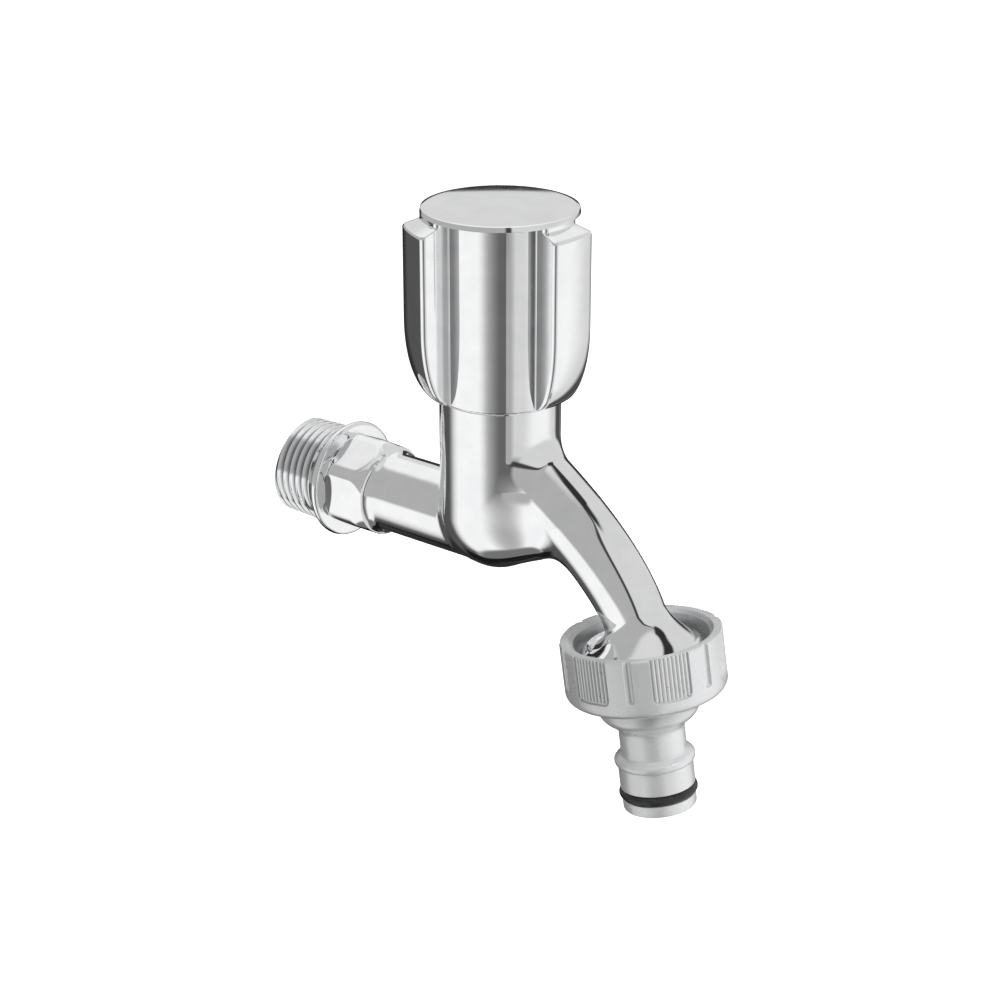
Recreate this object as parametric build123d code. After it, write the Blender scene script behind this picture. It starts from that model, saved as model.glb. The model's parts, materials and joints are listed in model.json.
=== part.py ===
from build123d import *
from math import atan, cos, degrees, pi, radians, sin
import os

# Bib tap: a chrome-plated brass body with a tapered inlet thread, a quarter-turn ceramic headwork
# under a three-lobed handle, and a curved spout whose threaded outlet carries a plastic hose tail.
# The origin is the centre of the inlet flange's wall face, +Y runs into the wall and +Z is up.
# All sizes are in millimetres.

# Inlet, arm and flange, along the inlet axis
inlet_thread_diameter = 20.955   # pipe thread one half inch, measured at its gauge plane
inlet_thread_pitch = 1.814
inlet_gauge_length = 8.2         # from the thread's small end to the gauge plane
inlet_thread_length = 12.6
inlet_taper = 1 / 16             # growth of the diameter per length
inlet_end_chamfer = 0.4
flange_radius = 12.3
flange_thickness = 1.7
flange_edge = 0.4
flange_recess_clearance = 0.4    # round the thread, of the shallow recess in the wall face
flange_recess_depth = 0.6
spanner_flats = 19.0             # across the flats of the hexagon
spanner_length = 10.0
spanner_corner_radius = 3.0
spanner_chamfer = 3.0            # how far back the hexagon's corners start to fall
arm_radius = 8.23
arm_neck_length = 2.5            # the hollow curve between the hexagon and the arm
arm_neck_fullness = (0.4, 0.3)   # how far its first control point stands off the arm and the hexagon
arm_neck_pull = 1.2
waterway_radius = 5.0
cut_margin = 1.0                 # how far every cut runs past the face that it opens

# Barrel, about the headwork axis
barrel_reach = 41.2              # from the wall face to the barrel's axis
barrel_radius = 12.05
barrel_top = 28.3
barrel_floor = -7.9              # lowest point of the round floor
barrel_edge = 0.4
lower_chamber_radius = 6.5
lower_chamber_depth = 4.2        # below the inlet axis
seat_height = 7.6
seat_web = 2.0
seat_hole_radius = 3.9
chamber_radius = 9.0

# Spout, in the plane of symmetry, with places measured from the barrel's axis
spout_start = (5.0, 13.2)        # reach and height where the spout's centre line starts
spout_start_pull = (17.6, 9.0)   # its first control point
spout_end_pull = 9.8             # length of the last control leg, along the outlet's axis
spout_root_radius = 9.2
spout_radius = 7.0
spout_tip_radius = 6.1
spout_blend_radius = 5.0         # of the hollow where the spout grows out of the barrel
spout_root_share = 0.30          # share of the centre line over which the root slims down
spout_even_share = 0.50          # where the even part ends
spout_bore_radius = 4.3

# Outlet collar, about the outlet axis
outlet_reach = 36.4              # from the barrel's axis to the outlet face's centre
outlet_drop = 20.1               # below the inlet axis
outlet_tilt = 9.3                # degrees that the outlet leans forward
outlet_thread_diameter = 26.441  # parallel pipe thread three quarter inch
outlet_thread_pitch = 1.814
collar_length = 4.4
outlet_bore_radius = 8.0
outlet_bore_overlap = 0.8        # how far the wide bore reaches past the spout's straight end
flare_length = 5.9
flare_fullness = (3.6, 1.2)      # how far the flare's control point stands off the tip and the collar
flare_pull = 3.2
spout_straight = 5.0             # the centre line ends this far above the outlet face

# Pipe thread form
thread_depth_ratio = 0.640327    # depth per pitch
thread_root_width_ratio = 0.74   # ridge width at its foot, per pitch
thread_crest_width_ratio = 0.16
thread_clearance = 0.14          # radial, for each of the two threads
thread_bury = 0.1                # how deep a ridge's foot sits in its wall
thread_margin = 0.4              # plain length kept at each end of a ridge

# Headwork, about the headwork axis, screwed into the barrel
headwork_thread_diameter = 16.662   # parallel pipe thread three eighths inch
headwork_thread_pitch = 1.337
headwork_thread_turns = 5.0
cage_wall = 1.05
cage_seat_gap = 0.6              # from the seat up to the cage's rim
window_height = 4.4
window_width = 6.2
gasket_thickness = 0.9
gasket_clearance = 0.27          # round the thread
headwork_flange_lip = 0.6        # how far the flange stands past the hexagon's corners
headwork_flange_thickness = 1.8
headwork_flats = 17.0
headwork_hexagon_height = 4.6
headwork_neck_radius = 6.3
headwork_neck_height = 1.8

# Ceramic discs and their seal
disc_radius = 5.95
disc_thickness = 2.4
disc_key_width = 2.0
disc_key_depth = 0.8
disc_port_inner_radius = 1.2
disc_port_outer_radius = 4.4
disc_port_angle = 80.0
disc_clearance = 0.2             # radial, in the cage
seal_width = 1.8
seal_height = 1.9
static_gap = 0.05                # between pieces that are screwed or pressed together
disc_gap = 0.02                  # between the two lapped discs

# Spindle and what it carries
spindle_radius = 4.0
spindle_clearance = 0.05
spindle_foot_height = 2.2
drive_tongue_width = 2.4
drive_tongue_length = 8.0
drive_tongue_height = 1.1
drive_clearance = 0.06
thrust_washer_thickness = 0.5
thrust_washer_gap = 0.05
ring_groove_depth = 0.9
ring_cord = 1.6                  # thickness of the rubber rings on the spindle
ring_depths = (14.4, 10.8)       # from the housing's top down to each ring
retaining_groove_width = 0.9
retaining_groove_depth = 0.6
retaining_ring_thickness = 0.7
retaining_ring_radius = 6.0
retaining_clearance = 0.02       # between the ring and the housing that it turns on
retaining_ring_mouth = 100.0     # degrees left open
spline_teeth = 20
spline_land = 0.25               # share of each tooth's pitch that stays round
spline_depth = 0.35
spline_gap = 2.8                 # from the housing's top to the splines
spline_length = 9.2

# Handle
handle_gap = 0.3                 # between the barrel's top and the handle's foot
handle_core_radius = 12.6
lobe_count = 3
lobe_reach = 18.8
lobe_half_angle = 18.4
lobe_edge_radius = 0.9
lobe_root_radius = 0.6
lobe_foot_radius = 13.0
lobe_curve_height = 15.5         # up to this height above the foot the lobes curve outwards
lobe_height = 34.6
lobe_top_rise = 1.2              # rise of the lobes' sloping tops from reach to neck
handle_neck_radius = 15.5        # of the raised step on each lobe under the cap
handle_neck_height = 0.9
handle_cavity_clearance = 0.55   # round the headwork's flange
handle_cavity_headroom = 0.6     # above the spindle
handle_boss_radius = 8.6
handle_web = 2.2
handle_pocket_radius = 7.6
insert_flats = 12.4
insert_clearance = 0.05
screw_diameter = 4.0
screw_length = 12.0
screw_head_radius = 3.7
screw_head_height = 2.5
screw_head_edge = 0.9
screw_hole_clearance = 0.25
screw_socket_flats = 2.5
screw_socket_depth = 1.5
screw_washer_radius = 3.6
screw_washer_thickness = 0.8
cap_overhang = 0.0               # how far the cap stands past those steps
cap_edge_height = 0.95
cap_dome_height = 0.35
cap_plug_length = 5.0
cap_plug_wall = 1.2

# Union nut, measured along the outlet axis from the outlet face, downwards
nut_radius = 16.1
nut_above = 6.8
nut_top_edge = 0.3
nut_bottom_edge = 1.8
nut_floor = 2.2                  # thickness under the hose tail's flange
nut_patches = 6
nut_patch_angle = 28.5
nut_patch_start = 3.8            # the angle of the first patch's middle
nut_patch_depth = 0.5
nut_patch_margin = 3.0           # from the nut's lower face to the patches
nut_ribs = 9
nut_rib_radius = 0.36
nut_groove_radius = 0.8
nut_groove_depth = 0.7
nut_groove_margin = 3.5
nut_mouth_chamfer = 0.8
unscrew_turns = 1.75

# Hose tail, along the same axis
washer_thickness = 1.5
washer_inner_radius = 6.6
washer_edge_gap = 0.5
tail_flange_thickness = 1.5
tail_hub_radius = 10.0
tail_hub_clearance = 0.3
tail_hub_end = 8.8
tail_neck_start = 13.1
tail_flare_fullness = (0.6, 2.2)
tail_flare_pull = 1.8
tail_neck_radius = 6.6
tail_collar_middle = 19.1
tail_collar_width = 2.2
tail_collar_radius = 8.1
tail_body_radius = 7.5
tail_ring_inset = 3.5            # from the nozzle's end up to the ring's middle
tail_ring_cord = 2.0
tail_ring_stand = 0.37           # how far the ring stands proud of the nozzle
tail_ring_groove_width = 2.2
tail_end = 29.6
tail_end_radius = 7.35
tail_end_chamfer = 0.3
tail_bore_radius = 4.5


# Frames: each one's own +Z runs along its axis
headwork_place = Pos(0, -barrel_reach, 0)
inlet_place = Rot(-90, 0, 0)
outlet_axis = Vector(0, -sin(radians(outlet_tilt)), -cos(radians(outlet_tilt)))
outlet_centre = Vector(0, -barrel_reach - outlet_reach, -outlet_drop)
outlet_place = Location(Plane(outlet_centre, x_dir=(1, 0, 0), z_dir=outlet_axis))


# A solid of revolution about Z from a closed outline of radius and height pairs
def turned(*outline):
    return revolve(Plane.XZ * make_face(Polyline(*outline, close=True)), Axis.Z)


# A ring with square edges
def ring(inner, outer, low, high):
    return turned((inner, low), (outer, low), (outer, high), (inner, high))


# A solid cylinder between two heights
def rod(radius, low, high):
    return Pos(0, 0, low) * Cylinder(radius, high - low, align=(Align.CENTER, Align.CENTER, Align.MIN))


# A prism on a regular polygon, given across its flats
def prism(flats, sides, low, high, corner_radius=0):
    outline = RegularPolygon(flats / 2, sides, major_radius=False, rotation=180 / sides)
    if corner_radius:
        outline = fillet(outline.vertices(), corner_radius)
    return Pos(0, 0, low) * extrude(outline, high - low)


# A rubber ring of round section
def rubber_ring(middle_radius, cord, height):
    section = Plane.XZ * (Pos(middle_radius, height) * Circle(cord / 2))
    return revolve(section, Axis.Z)


# One turned-up helical ridge of a pipe thread, starting at a height, with its foot at a radius
def thread_ridge(foot_radius, crest_radius, pitch, turns, start, cone_angle=0):
    half_foot = pitch * thread_root_width_ratio / 2
    half_crest = pitch * thread_crest_width_ratio / 2
    corners = (
        (foot_radius, -half_foot),
        (crest_radius, -half_crest),
        (crest_radius, half_crest),
        (foot_radius, half_foot),
    )
    edges = []
    for radius, shift in corners:
        line = Helix(pitch, pitch * turns, radius, cone_angle=cone_angle)
        edges.append((Pos(0, 0, start + shift) * line).edge())
    faces = []
    for index, edge in enumerate(edges):
        faces.append(Face.make_surface_from_curves(edge, edges[(index + 1) % len(edges)]))
    for end in (0, 1):
        faces.append(Face(Wire.make_polygon([edge.position_at(end) for edge in edges])))
    return Solid(Shell(faces))


# Sizes worked out from the ones above
inlet_depth = thread_depth_ratio * inlet_thread_pitch
inlet_end_crest = inlet_thread_diameter / 2 - inlet_gauge_length * inlet_taper / 2
inlet_wall_crest = inlet_end_crest + inlet_thread_length * inlet_taper / 2
flange_recess_radius = inlet_wall_crest + flange_recess_clearance
outlet_depth = thread_depth_ratio * outlet_thread_pitch
outlet_thread_turns = (collar_length - 2 * thread_margin) / outlet_thread_pitch - thread_root_width_ratio
outlet_bore_depth = spout_straight + outlet_bore_overlap
collar_root = outlet_thread_diameter / 2 - outlet_depth
headwork_depth = thread_depth_ratio * headwork_thread_pitch
headwork_root = headwork_thread_diameter / 2 - headwork_depth
headwork_thread_room = (headwork_thread_turns + 1.5) * headwork_thread_pitch + 2 * thread_margin
chamber_top = barrel_top - headwork_thread_room
spanner_end = -flange_thickness - spanner_length
floor_centre = barrel_floor + barrel_radius
disc_pocket_radius = disc_radius + disc_clearance
cage_radius = disc_pocket_radius + cage_wall
cage_bottom = seat_height + cage_seat_gap
seal_outer_radius = disc_radius - static_gap
seal_inner_radius = seal_outer_radius - seal_width
spindle_foot_radius = disc_pocket_radius - disc_clearance - 2 * static_gap
seal_top = seat_height + seal_height
fixed_disc_bottom = seal_top + static_gap
fixed_disc_top = fixed_disc_bottom + disc_thickness
moving_disc_bottom = fixed_disc_top + disc_gap
moving_disc_top = moving_disc_bottom + disc_thickness
foot_bottom = moving_disc_top + static_gap
foot_top = foot_bottom + spindle_foot_height
pocket_top = foot_top + thrust_washer_thickness + 2 * thrust_washer_gap
headwork_thread_start = chamber_top + thread_margin + headwork_thread_pitch / 2
gasket_top = barrel_top + gasket_thickness
headwork_hexagon_bottom = gasket_top + headwork_flange_thickness
headwork_hexagon_top = headwork_hexagon_bottom + headwork_hexagon_height
headwork_flange_radius = headwork_flats / 3 ** 0.5 + headwork_flange_lip
headwork_top = headwork_hexagon_top + headwork_neck_height
gasket_inner_radius = headwork_thread_diameter / 2 + gasket_clearance
ring_heights = [headwork_top - depth for depth in ring_depths]
retaining_ring_low = headwork_top + retaining_clearance
retaining_groove_height = retaining_ring_low + retaining_ring_thickness / 2
spline_bottom = headwork_top + spline_gap
spindle_top = spline_bottom + spline_length
handle_bottom = barrel_top + handle_gap
lobe_curve_top = handle_bottom + lobe_curve_height
lobe_top = handle_bottom + lobe_height
neck_bottom = lobe_top + lobe_top_rise
neck_top = neck_bottom + handle_neck_height
handle_cavity_radius = headwork_flange_radius + handle_cavity_clearance
handle_cavity_top = spindle_top + handle_cavity_headroom
cap_radius = handle_neck_radius + cap_overhang
cap_plug_radius = handle_pocket_radius - 2 * static_gap
screw_seat = handle_cavity_top + handle_web
screw_under_head = screw_seat + screw_washer_thickness + static_gap
washer_bottom = static_gap + washer_thickness
tail_flange_top = washer_bottom + static_gap
tail_flange_bottom = tail_flange_top + tail_flange_thickness
tail_ring_middle = tail_end - tail_ring_inset
nut_floor_top = tail_flange_bottom
nut_below = nut_floor_top + nut_floor
nut_thread_root = outlet_thread_diameter / 2 + 2 * thread_clearance
nut_thread_crest = collar_root + 2 * thread_clearance
tail_flange_radius = nut_thread_crest - washer_edge_gap


# Centre line of the spout, which ends along the outlet's axis
def spout_path():
    end = outlet_centre - outlet_axis * spout_straight
    points = (
        (0, -barrel_reach - spout_start[0], spout_start[1]),
        (0, -barrel_reach - spout_start_pull[0], spout_start_pull[1]),
        end - outlet_axis * spout_end_pull,
        end,
    )
    return Bezier(*points)


def place_across(path, share):
    return Plane(path @ share, x_dir=(1, 0, 0), z_dir=path % share)


# The spout's outside: wide where it grows out of the barrel, then slimming to its tip
def spout_outside(path):
    stations = (
        (0.0, spout_root_radius),
        (spout_root_share / 2, (spout_root_radius + spout_radius) / 2),
        (spout_root_share, (spout_root_radius + 4 * spout_radius) / 5),
        (spout_even_share, spout_radius),
        ((spout_even_share + 1) / 2, (spout_radius + spout_tip_radius) / 2),
        (1.0, spout_tip_radius),
    )
    return loft([place_across(path, share) * Circle(radius) for share, radius in stations])


# The flare from the spout's tip to the threaded collar, and the collar without its thread
def outlet_collar():
    flare_top = -collar_length - flare_length
    outline = [
        Line((0, 0), (collar_root, 0)),
        Line((collar_root, 0), (collar_root, -collar_length)),
        Bezier(
            (collar_root, -collar_length),
            (spout_tip_radius + flare_fullness[0], -collar_length - flare_fullness[1]),
            (spout_tip_radius, -collar_length - flare_pull),
            (spout_tip_radius, flare_top),
        ),
        Line((spout_tip_radius, flare_top), (0, flare_top)),
        Line((0, flare_top), (0, 0)),
    ]
    return outlet_place * revolve(Plane.XZ * make_face(outline), Axis.Z)


def outlet_thread():
    start = -collar_length + thread_margin + outlet_thread_pitch / 2
    foot = collar_root - thread_bury
    crest = outlet_thread_diameter / 2
    return outlet_place * thread_ridge(foot, crest, outlet_thread_pitch, outlet_thread_turns, start)


# Tapered core, helical ridge, flange ring and hexagon, all about the inlet axis
def inlet_end():
    core_wall = inlet_wall_crest - inlet_depth
    core_end = inlet_end_crest - inlet_depth
    core = turned(
        (0, -flange_thickness),
        (core_wall, -flange_thickness),
        (core_wall, 0),
        (core_end, inlet_thread_length - inlet_end_chamfer),
        (core_end - inlet_end_chamfer, inlet_thread_length),
        (0, inlet_thread_length),
    )
    turns = (inlet_thread_length - 2 * thread_margin) / inlet_thread_pitch - thread_root_width_ratio
    start = thread_margin + inlet_thread_pitch / 2
    shrink = start * inlet_taper / 2
    ridge = thread_ridge(
        core_wall - shrink - thread_bury,
        inlet_wall_crest - shrink,
        inlet_thread_pitch,
        turns,
        start,
        cone_angle=-degrees(atan(inlet_taper / 2)),
    )
    flange = rod(flange_radius, -flange_thickness, 0)
    flange = chamfer(flange.edges().filter_by(GeomType.CIRCLE), flange_edge)
    flange -= rod(flange_recess_radius, -flange_recess_depth, cut_margin)
    return inlet_place * (core + ridge + flange)


def spanner_hexagon():
    hexagon = prism(spanner_flats, 6, spanner_end, -flange_thickness, spanner_corner_radius)
    half_flats = spanner_flats / 2
    corner = spanner_flats / 3 ** 0.5
    taper = turned(
        (0, spanner_end),
        (half_flats, spanner_end),
        (corner, spanner_end + spanner_chamfer),
        (corner, 0),
        (0, 0),
    )
    neck_end = spanner_end - arm_neck_length
    neck = [
        Line((0, spanner_end), (half_flats, spanner_end)),
        Bezier(
            (half_flats, spanner_end),
            (arm_radius + arm_neck_fullness[0], spanner_end - arm_neck_fullness[1]),
            (arm_radius, neck_end + arm_neck_pull),
            (arm_radius, neck_end),
        ),
        Line((arm_radius, neck_end), (0, neck_end)),
        Line((0, neck_end), (0, spanner_end)),
    ]
    hollow_neck = revolve(Plane.XZ * make_face(neck), Axis.Z)
    arm = rod(arm_radius, -barrel_reach, neck_end)
    return inlet_place * ((hexagon & taper) + hollow_neck + arm)


def barrel_outside():
    wall = chamfer(rod(barrel_radius, floor_centre, barrel_top).edges().group_by(Axis.Z)[-1], barrel_edge)
    return headwork_place * (wall + Pos(0, 0, floor_centre) * Sphere(barrel_radius))


# Everything that water and the headwork take out of the casting
def body_voids(path):
    inlet_bore = inlet_place * rod(waterway_radius, -barrel_reach, inlet_thread_length + cut_margin)
    seat_bottom = seat_height - seat_web
    lower = rod(lower_chamber_radius, -lower_chamber_depth, seat_bottom)
    seat_hole = rod(seat_hole_radius, seat_bottom - cut_margin, seat_height + cut_margin)
    chamber = rod(chamber_radius, seat_height, chamber_top)
    thread_hole_radius = headwork_thread_diameter / 2 + thread_clearance
    thread_hole = rod(thread_hole_radius, chamber_top - cut_margin, barrel_top + cut_margin)
    headwork_room = headwork_place * (lower + seat_hole + chamber + thread_hole)
    spout_bore = sweep(place_across(path, 0) * Circle(spout_bore_radius), path)
    outlet_bore = outlet_place * rod(outlet_bore_radius, -outlet_bore_depth, 1)
    return inlet_bore + headwork_room + spout_bore + outlet_bore


# The barrel's own ridge, which the headwork screws into
def barrel_thread():
    foot = headwork_thread_diameter / 2 + thread_clearance + thread_bury
    crest = headwork_root + thread_clearance
    start = headwork_thread_start + headwork_thread_pitch / 2
    ridge = thread_ridge(foot, crest, headwork_thread_pitch, headwork_thread_turns, start)
    return headwork_place * ridge


# The edges that a union made where its two parts cross
def crossing_edges(union, first, second):
    old_edges = first.edges() + second.edges()
    return [edge for edge in union.edges() if all(old.distance_to(edge @ 0.5) > 0.001 for old in old_edges)]


def tap_body():
    path = spout_path()
    barrel = barrel_outside()
    spout = spout_outside(path)
    casting = barrel + spout
    casting = fillet(crossing_edges(casting, barrel, spout), spout_blend_radius)
    solid = casting + inlet_end() + spanner_hexagon() + outlet_collar()
    solid = solid - body_voids(path)
    return solid + outlet_thread() + barrel_thread()


# Screwed brass housing with a cage for the discs, two outflow windows and a spanner hexagon
def headwork_housing():
    wall_root = headwork_root - thread_clearance
    outside = rod(cage_radius, cage_bottom, chamber_top)
    outside += rod(wall_root, chamber_top, gasket_top)
    outside += rod(headwork_flange_radius, gasket_top + static_gap, headwork_hexagon_bottom)
    outside += rod(gasket_inner_radius - 2 * static_gap, barrel_top + static_gap, gasket_top + 2 * static_gap)
    outside += prism(headwork_flats, 6, headwork_hexagon_bottom, headwork_hexagon_top)
    outside += rod(headwork_neck_radius, headwork_hexagon_top, headwork_top)
    foot = wall_root - thread_bury
    crest = headwork_thread_diameter / 2 - thread_clearance
    ridge = thread_ridge(foot, crest, headwork_thread_pitch, headwork_thread_turns, headwork_thread_start)
    pocket = rod(disc_pocket_radius, cage_bottom - cut_margin, pocket_top)
    bore = rod(spindle_radius + spindle_clearance, pocket_top - cut_margin, headwork_top + cut_margin)
    window_bottom = moving_disc_bottom + disc_gap
    windows = Pos(0, 0, window_bottom) * Box(
        3 * cage_radius, window_width, window_height, align=(Align.CENTER, Align.CENTER, Align.MIN)
    )
    key_bars = Pos(0, 0, fixed_disc_bottom) * Box(
        disc_key_width, 2 * cage_radius, disc_thickness, align=(Align.CENTER, Align.CENTER, Align.MIN)
    )
    key_tip = disc_radius - disc_key_depth + 2 * static_gap
    key_bars &= ring(key_tip, cage_radius - static_gap, fixed_disc_bottom, fixed_disc_top)
    return headwork_place * (outside + ridge - pocket - bore - windows + key_bars)


def headwork_gasket():
    return headwork_place * ring(gasket_inner_radius, headwork_flange_radius, barrel_top, gasket_top)


def seat_seal():
    return headwork_place * ring(seal_inner_radius, seal_outer_radius, seat_height, seal_top)


# Two opposite ports through a ceramic disc
def disc_ports(turn, low, high):
    ports = Sketch()
    for side in (0, 180):
        port = SlotArc(
            CenterArc(
                (0, 0),
                (disc_port_inner_radius + disc_port_outer_radius) / 2,
                side + turn - disc_port_angle / 2,
                disc_port_angle,
            ),
            disc_port_outer_radius - disc_port_inner_radius,
        )
        ports += port
    return Pos(0, 0, low - cut_margin) * extrude(ports, high - low + 2 * cut_margin)


def fixed_disc():
    disc = rod(disc_radius, fixed_disc_bottom, fixed_disc_top)
    for side in (-1, 1):
        notch = Pos(0, side * disc_radius, fixed_disc_bottom - cut_margin) * Box(
            disc_key_width + 4 * static_gap,
            2 * disc_key_depth,
            disc_thickness + 2 * cut_margin,
            align=(Align.CENTER, Align.CENTER, Align.MIN),
        )
        disc -= notch
    return headwork_place * (disc - disc_ports(0, fixed_disc_bottom, fixed_disc_top))


def tongue_slot(clearance, low, high):
    return Pos(0, 0, low) * Box(
        drive_tongue_length + 2 * clearance,
        drive_tongue_width + 2 * clearance,
        high - low,
        align=(Align.CENTER, Align.CENTER, Align.MIN),
    )


# The disc's ports are a quarter turn away from the fixed disc's while the tap is closed
def moving_disc():
    disc = rod(disc_radius, moving_disc_bottom, moving_disc_top)
    disc -= disc_ports(90, moving_disc_bottom, moving_disc_top - drive_tongue_height - 2 * drive_clearance)
    slot_bottom = moving_disc_top - drive_tongue_height - drive_clearance
    disc -= tongue_slot(drive_clearance, slot_bottom, moving_disc_top + cut_margin)
    return headwork_place * disc


# Outline of the spindle's teeth, grown by a clearance for the insert's bore
def spline_outline(clearance):
    points = []
    crest = spindle_radius + clearance
    root = crest - spline_depth
    for tooth in range(spline_teeth):
        for share, radius in ((0.0, crest), (spline_land, crest), (2 * spline_land, root)):
            angle = 2 * pi * (tooth + share) / spline_teeth
            points.append((radius * cos(angle), radius * sin(angle)))
    return make_face(Polyline(*points, close=True))


def spindle():
    solid = rod(spindle_foot_radius, foot_bottom, foot_top)
    solid += rod(spindle_radius, foot_top, spline_bottom)
    solid += Pos(0, 0, spline_bottom) * extrude(spline_outline(0), spindle_top - spline_bottom)
    solid += tongue_slot(0, foot_bottom - drive_tongue_height, foot_bottom)
    for height in ring_heights:
        low = height - ring_cord / 2
        high = height + ring_cord / 2
        solid -= ring(spindle_radius - ring_groove_depth, spindle_radius + cut_margin, low, high)
    solid -= ring(
        spindle_radius - retaining_groove_depth,
        spindle_radius + cut_margin,
        retaining_groove_height - retaining_groove_width / 2,
        retaining_groove_height + retaining_groove_width / 2,
    )
    hole_bottom = screw_under_head - screw_length - cut_margin
    thread_hole = rod(screw_diameter / 2 + static_gap, hole_bottom, spindle_top + cut_margin)
    return headwork_place * (solid - thread_hole)


# Pressed flat between groove and bore, so its section is narrower than its groove is wide
def spindle_o_ring(height):
    squeezed = ring_groove_depth + spindle_clearance - 2 * static_gap
    middle = spindle_radius - ring_groove_depth + static_gap + squeezed / 2
    section = Plane.XZ * (Pos(middle, height) * Ellipse(squeezed / 2, ring_cord / 2 - static_gap))
    return headwork_place * revolve(section, Axis.Z)


def thrust_washer():
    low = foot_top + thrust_washer_gap
    high = low + thrust_washer_thickness
    return headwork_place * ring(spindle_radius + 2 * spindle_clearance, spindle_foot_radius, low, high)


# Open spring ring in the spindle's upper groove
def retaining_ring():
    inner = spindle_radius - retaining_groove_depth + static_gap
    low = retaining_ring_low
    high = low + retaining_ring_thickness
    mouth = Pos(0, -retaining_ring_radius, low - cut_margin) * Box(
        2 * inner * sin(radians(retaining_ring_mouth / 2)),
        2 * retaining_ring_radius,
        retaining_ring_thickness + 2 * cut_margin,
        align=(Align.CENTER, Align.CENTER, Align.MIN),
    )
    return headwork_place * (ring(inner, retaining_ring_radius, low, high) - mouth)


# Half section of the handle's outer shape: foot, curved flank, upright flank, sloping top and neck
def handle_envelope():
    flank = lobe_reach - lobe_foot_radius
    rise = lobe_curve_top - handle_bottom
    roundness = 4 * (2 ** 0.5 - 1) / 3
    outline = [
        Line((0, handle_bottom), (lobe_foot_radius, handle_bottom)),
        Bezier(
            (lobe_foot_radius, handle_bottom),
            (lobe_foot_radius + roundness * flank, handle_bottom),
            (lobe_reach, lobe_curve_top - roundness * rise),
            (lobe_reach, lobe_curve_top),
        ),
        Line((lobe_reach, lobe_curve_top), (lobe_reach, lobe_top)),
        Line((lobe_reach, lobe_top), (handle_neck_radius, neck_bottom)),
        Line((handle_neck_radius, neck_bottom), (handle_neck_radius, neck_top)),
        Line((handle_neck_radius, neck_top), (0, neck_top)),
        Line((0, neck_top), (0, handle_bottom)),
    ]
    return revolve(Plane.XZ * make_face(outline), Axis.Z)


# Section across the handle: a round core with lobes, the first one towards the spout
def handle_section():
    wedge_reach = 2 * lobe_reach
    wide = wedge_reach * sin(radians(lobe_half_angle))
    deep = wedge_reach * cos(radians(lobe_half_angle))
    wedges = Sketch()
    for lobe in range(lobe_count):
        wedge = make_face(Polyline((0, 0), (wide, -deep), (-wide, -deep), close=True))
        wedges += Rot(0, 0, lobe * 360 / lobe_count) * wedge
    section = Circle(handle_core_radius) + (wedges & Circle(lobe_reach))
    middle = (handle_core_radius + lobe_reach) / 2
    corners = section.vertices()
    outer = [corner for corner in corners if Vector(corner.X, corner.Y).length > middle]
    section = fillet(outer, lobe_edge_radius)
    corners = section.vertices()
    inner = [corner for corner in corners if Vector(corner.X, corner.Y).length < middle]
    return fillet(inner, lobe_root_radius)


def handle():
    solid = Pos(0, 0, handle_bottom) * extrude(handle_section(), neck_top - handle_bottom)
    solid = solid & handle_envelope()
    cavity = rod(handle_cavity_radius, handle_bottom - cut_margin, handle_cavity_top)
    boss = rod(handle_boss_radius, spline_bottom, handle_cavity_top)
    socket = prism(insert_flats + 2 * insert_clearance, 6, spline_bottom - cut_margin, handle_cavity_top)
    screw_hole_radius = screw_diameter / 2 + screw_hole_clearance
    screw_hole = rod(screw_hole_radius, handle_cavity_top - cut_margin, screw_seat + cut_margin)
    pocket = rod(handle_pocket_radius, screw_seat, neck_top + cut_margin)
    return headwork_place * (solid - cavity + boss - socket - screw_hole - pocket)


def handle_insert():
    high = handle_cavity_top - static_gap
    body = prism(insert_flats, 6, spline_bottom, high)
    socket_height = spindle_top + 4 * static_gap - spline_bottom
    teeth = Pos(0, 0, spline_bottom) * extrude(spline_outline(2 * static_gap), socket_height)
    hole = rod(screw_diameter / 2 + screw_hole_clearance, spline_bottom, high + cut_margin)
    return headwork_place * (body - teeth - hole)


def screw_washer():
    low = screw_seat + static_gap / 2
    inner = screw_diameter / 2 + screw_hole_clearance
    return headwork_place * ring(inner, screw_washer_radius, low, low + screw_washer_thickness)


def handle_screw():
    head_top = screw_under_head + screw_head_height
    head = rod(screw_head_radius, screw_under_head, head_top)
    head = fillet(head.edges().group_by(Axis.Z)[-1], screw_head_edge)
    shank = rod(screw_diameter / 2, screw_under_head - screw_length, screw_under_head)
    socket = prism(screw_socket_flats, 6, head_top - screw_socket_depth, head_top + cut_margin)
    return headwork_place * (head + shank - socket)


# Slightly domed disc whose hollow plug is pressed into the handle's pocket
def index_cap():
    low = neck_top + static_gap
    edge_top = low + cap_edge_height
    top = edge_top + cap_dome_height
    plug_inner = cap_plug_radius - cap_plug_wall
    plug_low = neck_top - cap_plug_length
    underside = Polyline(
        (0, top),
        (0, low),
        (plug_inner, low),
        (plug_inner, plug_low),
        (cap_plug_radius, plug_low),
        (cap_plug_radius, low),
        (cap_radius, low),
        (cap_radius, edge_top),
    )
    dome = Bezier((cap_radius, edge_top), (cap_radius / 2, top), (0, top))
    return headwork_place * revolve(Plane.XZ * make_face([underside, dome]), Axis.Z)


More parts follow.
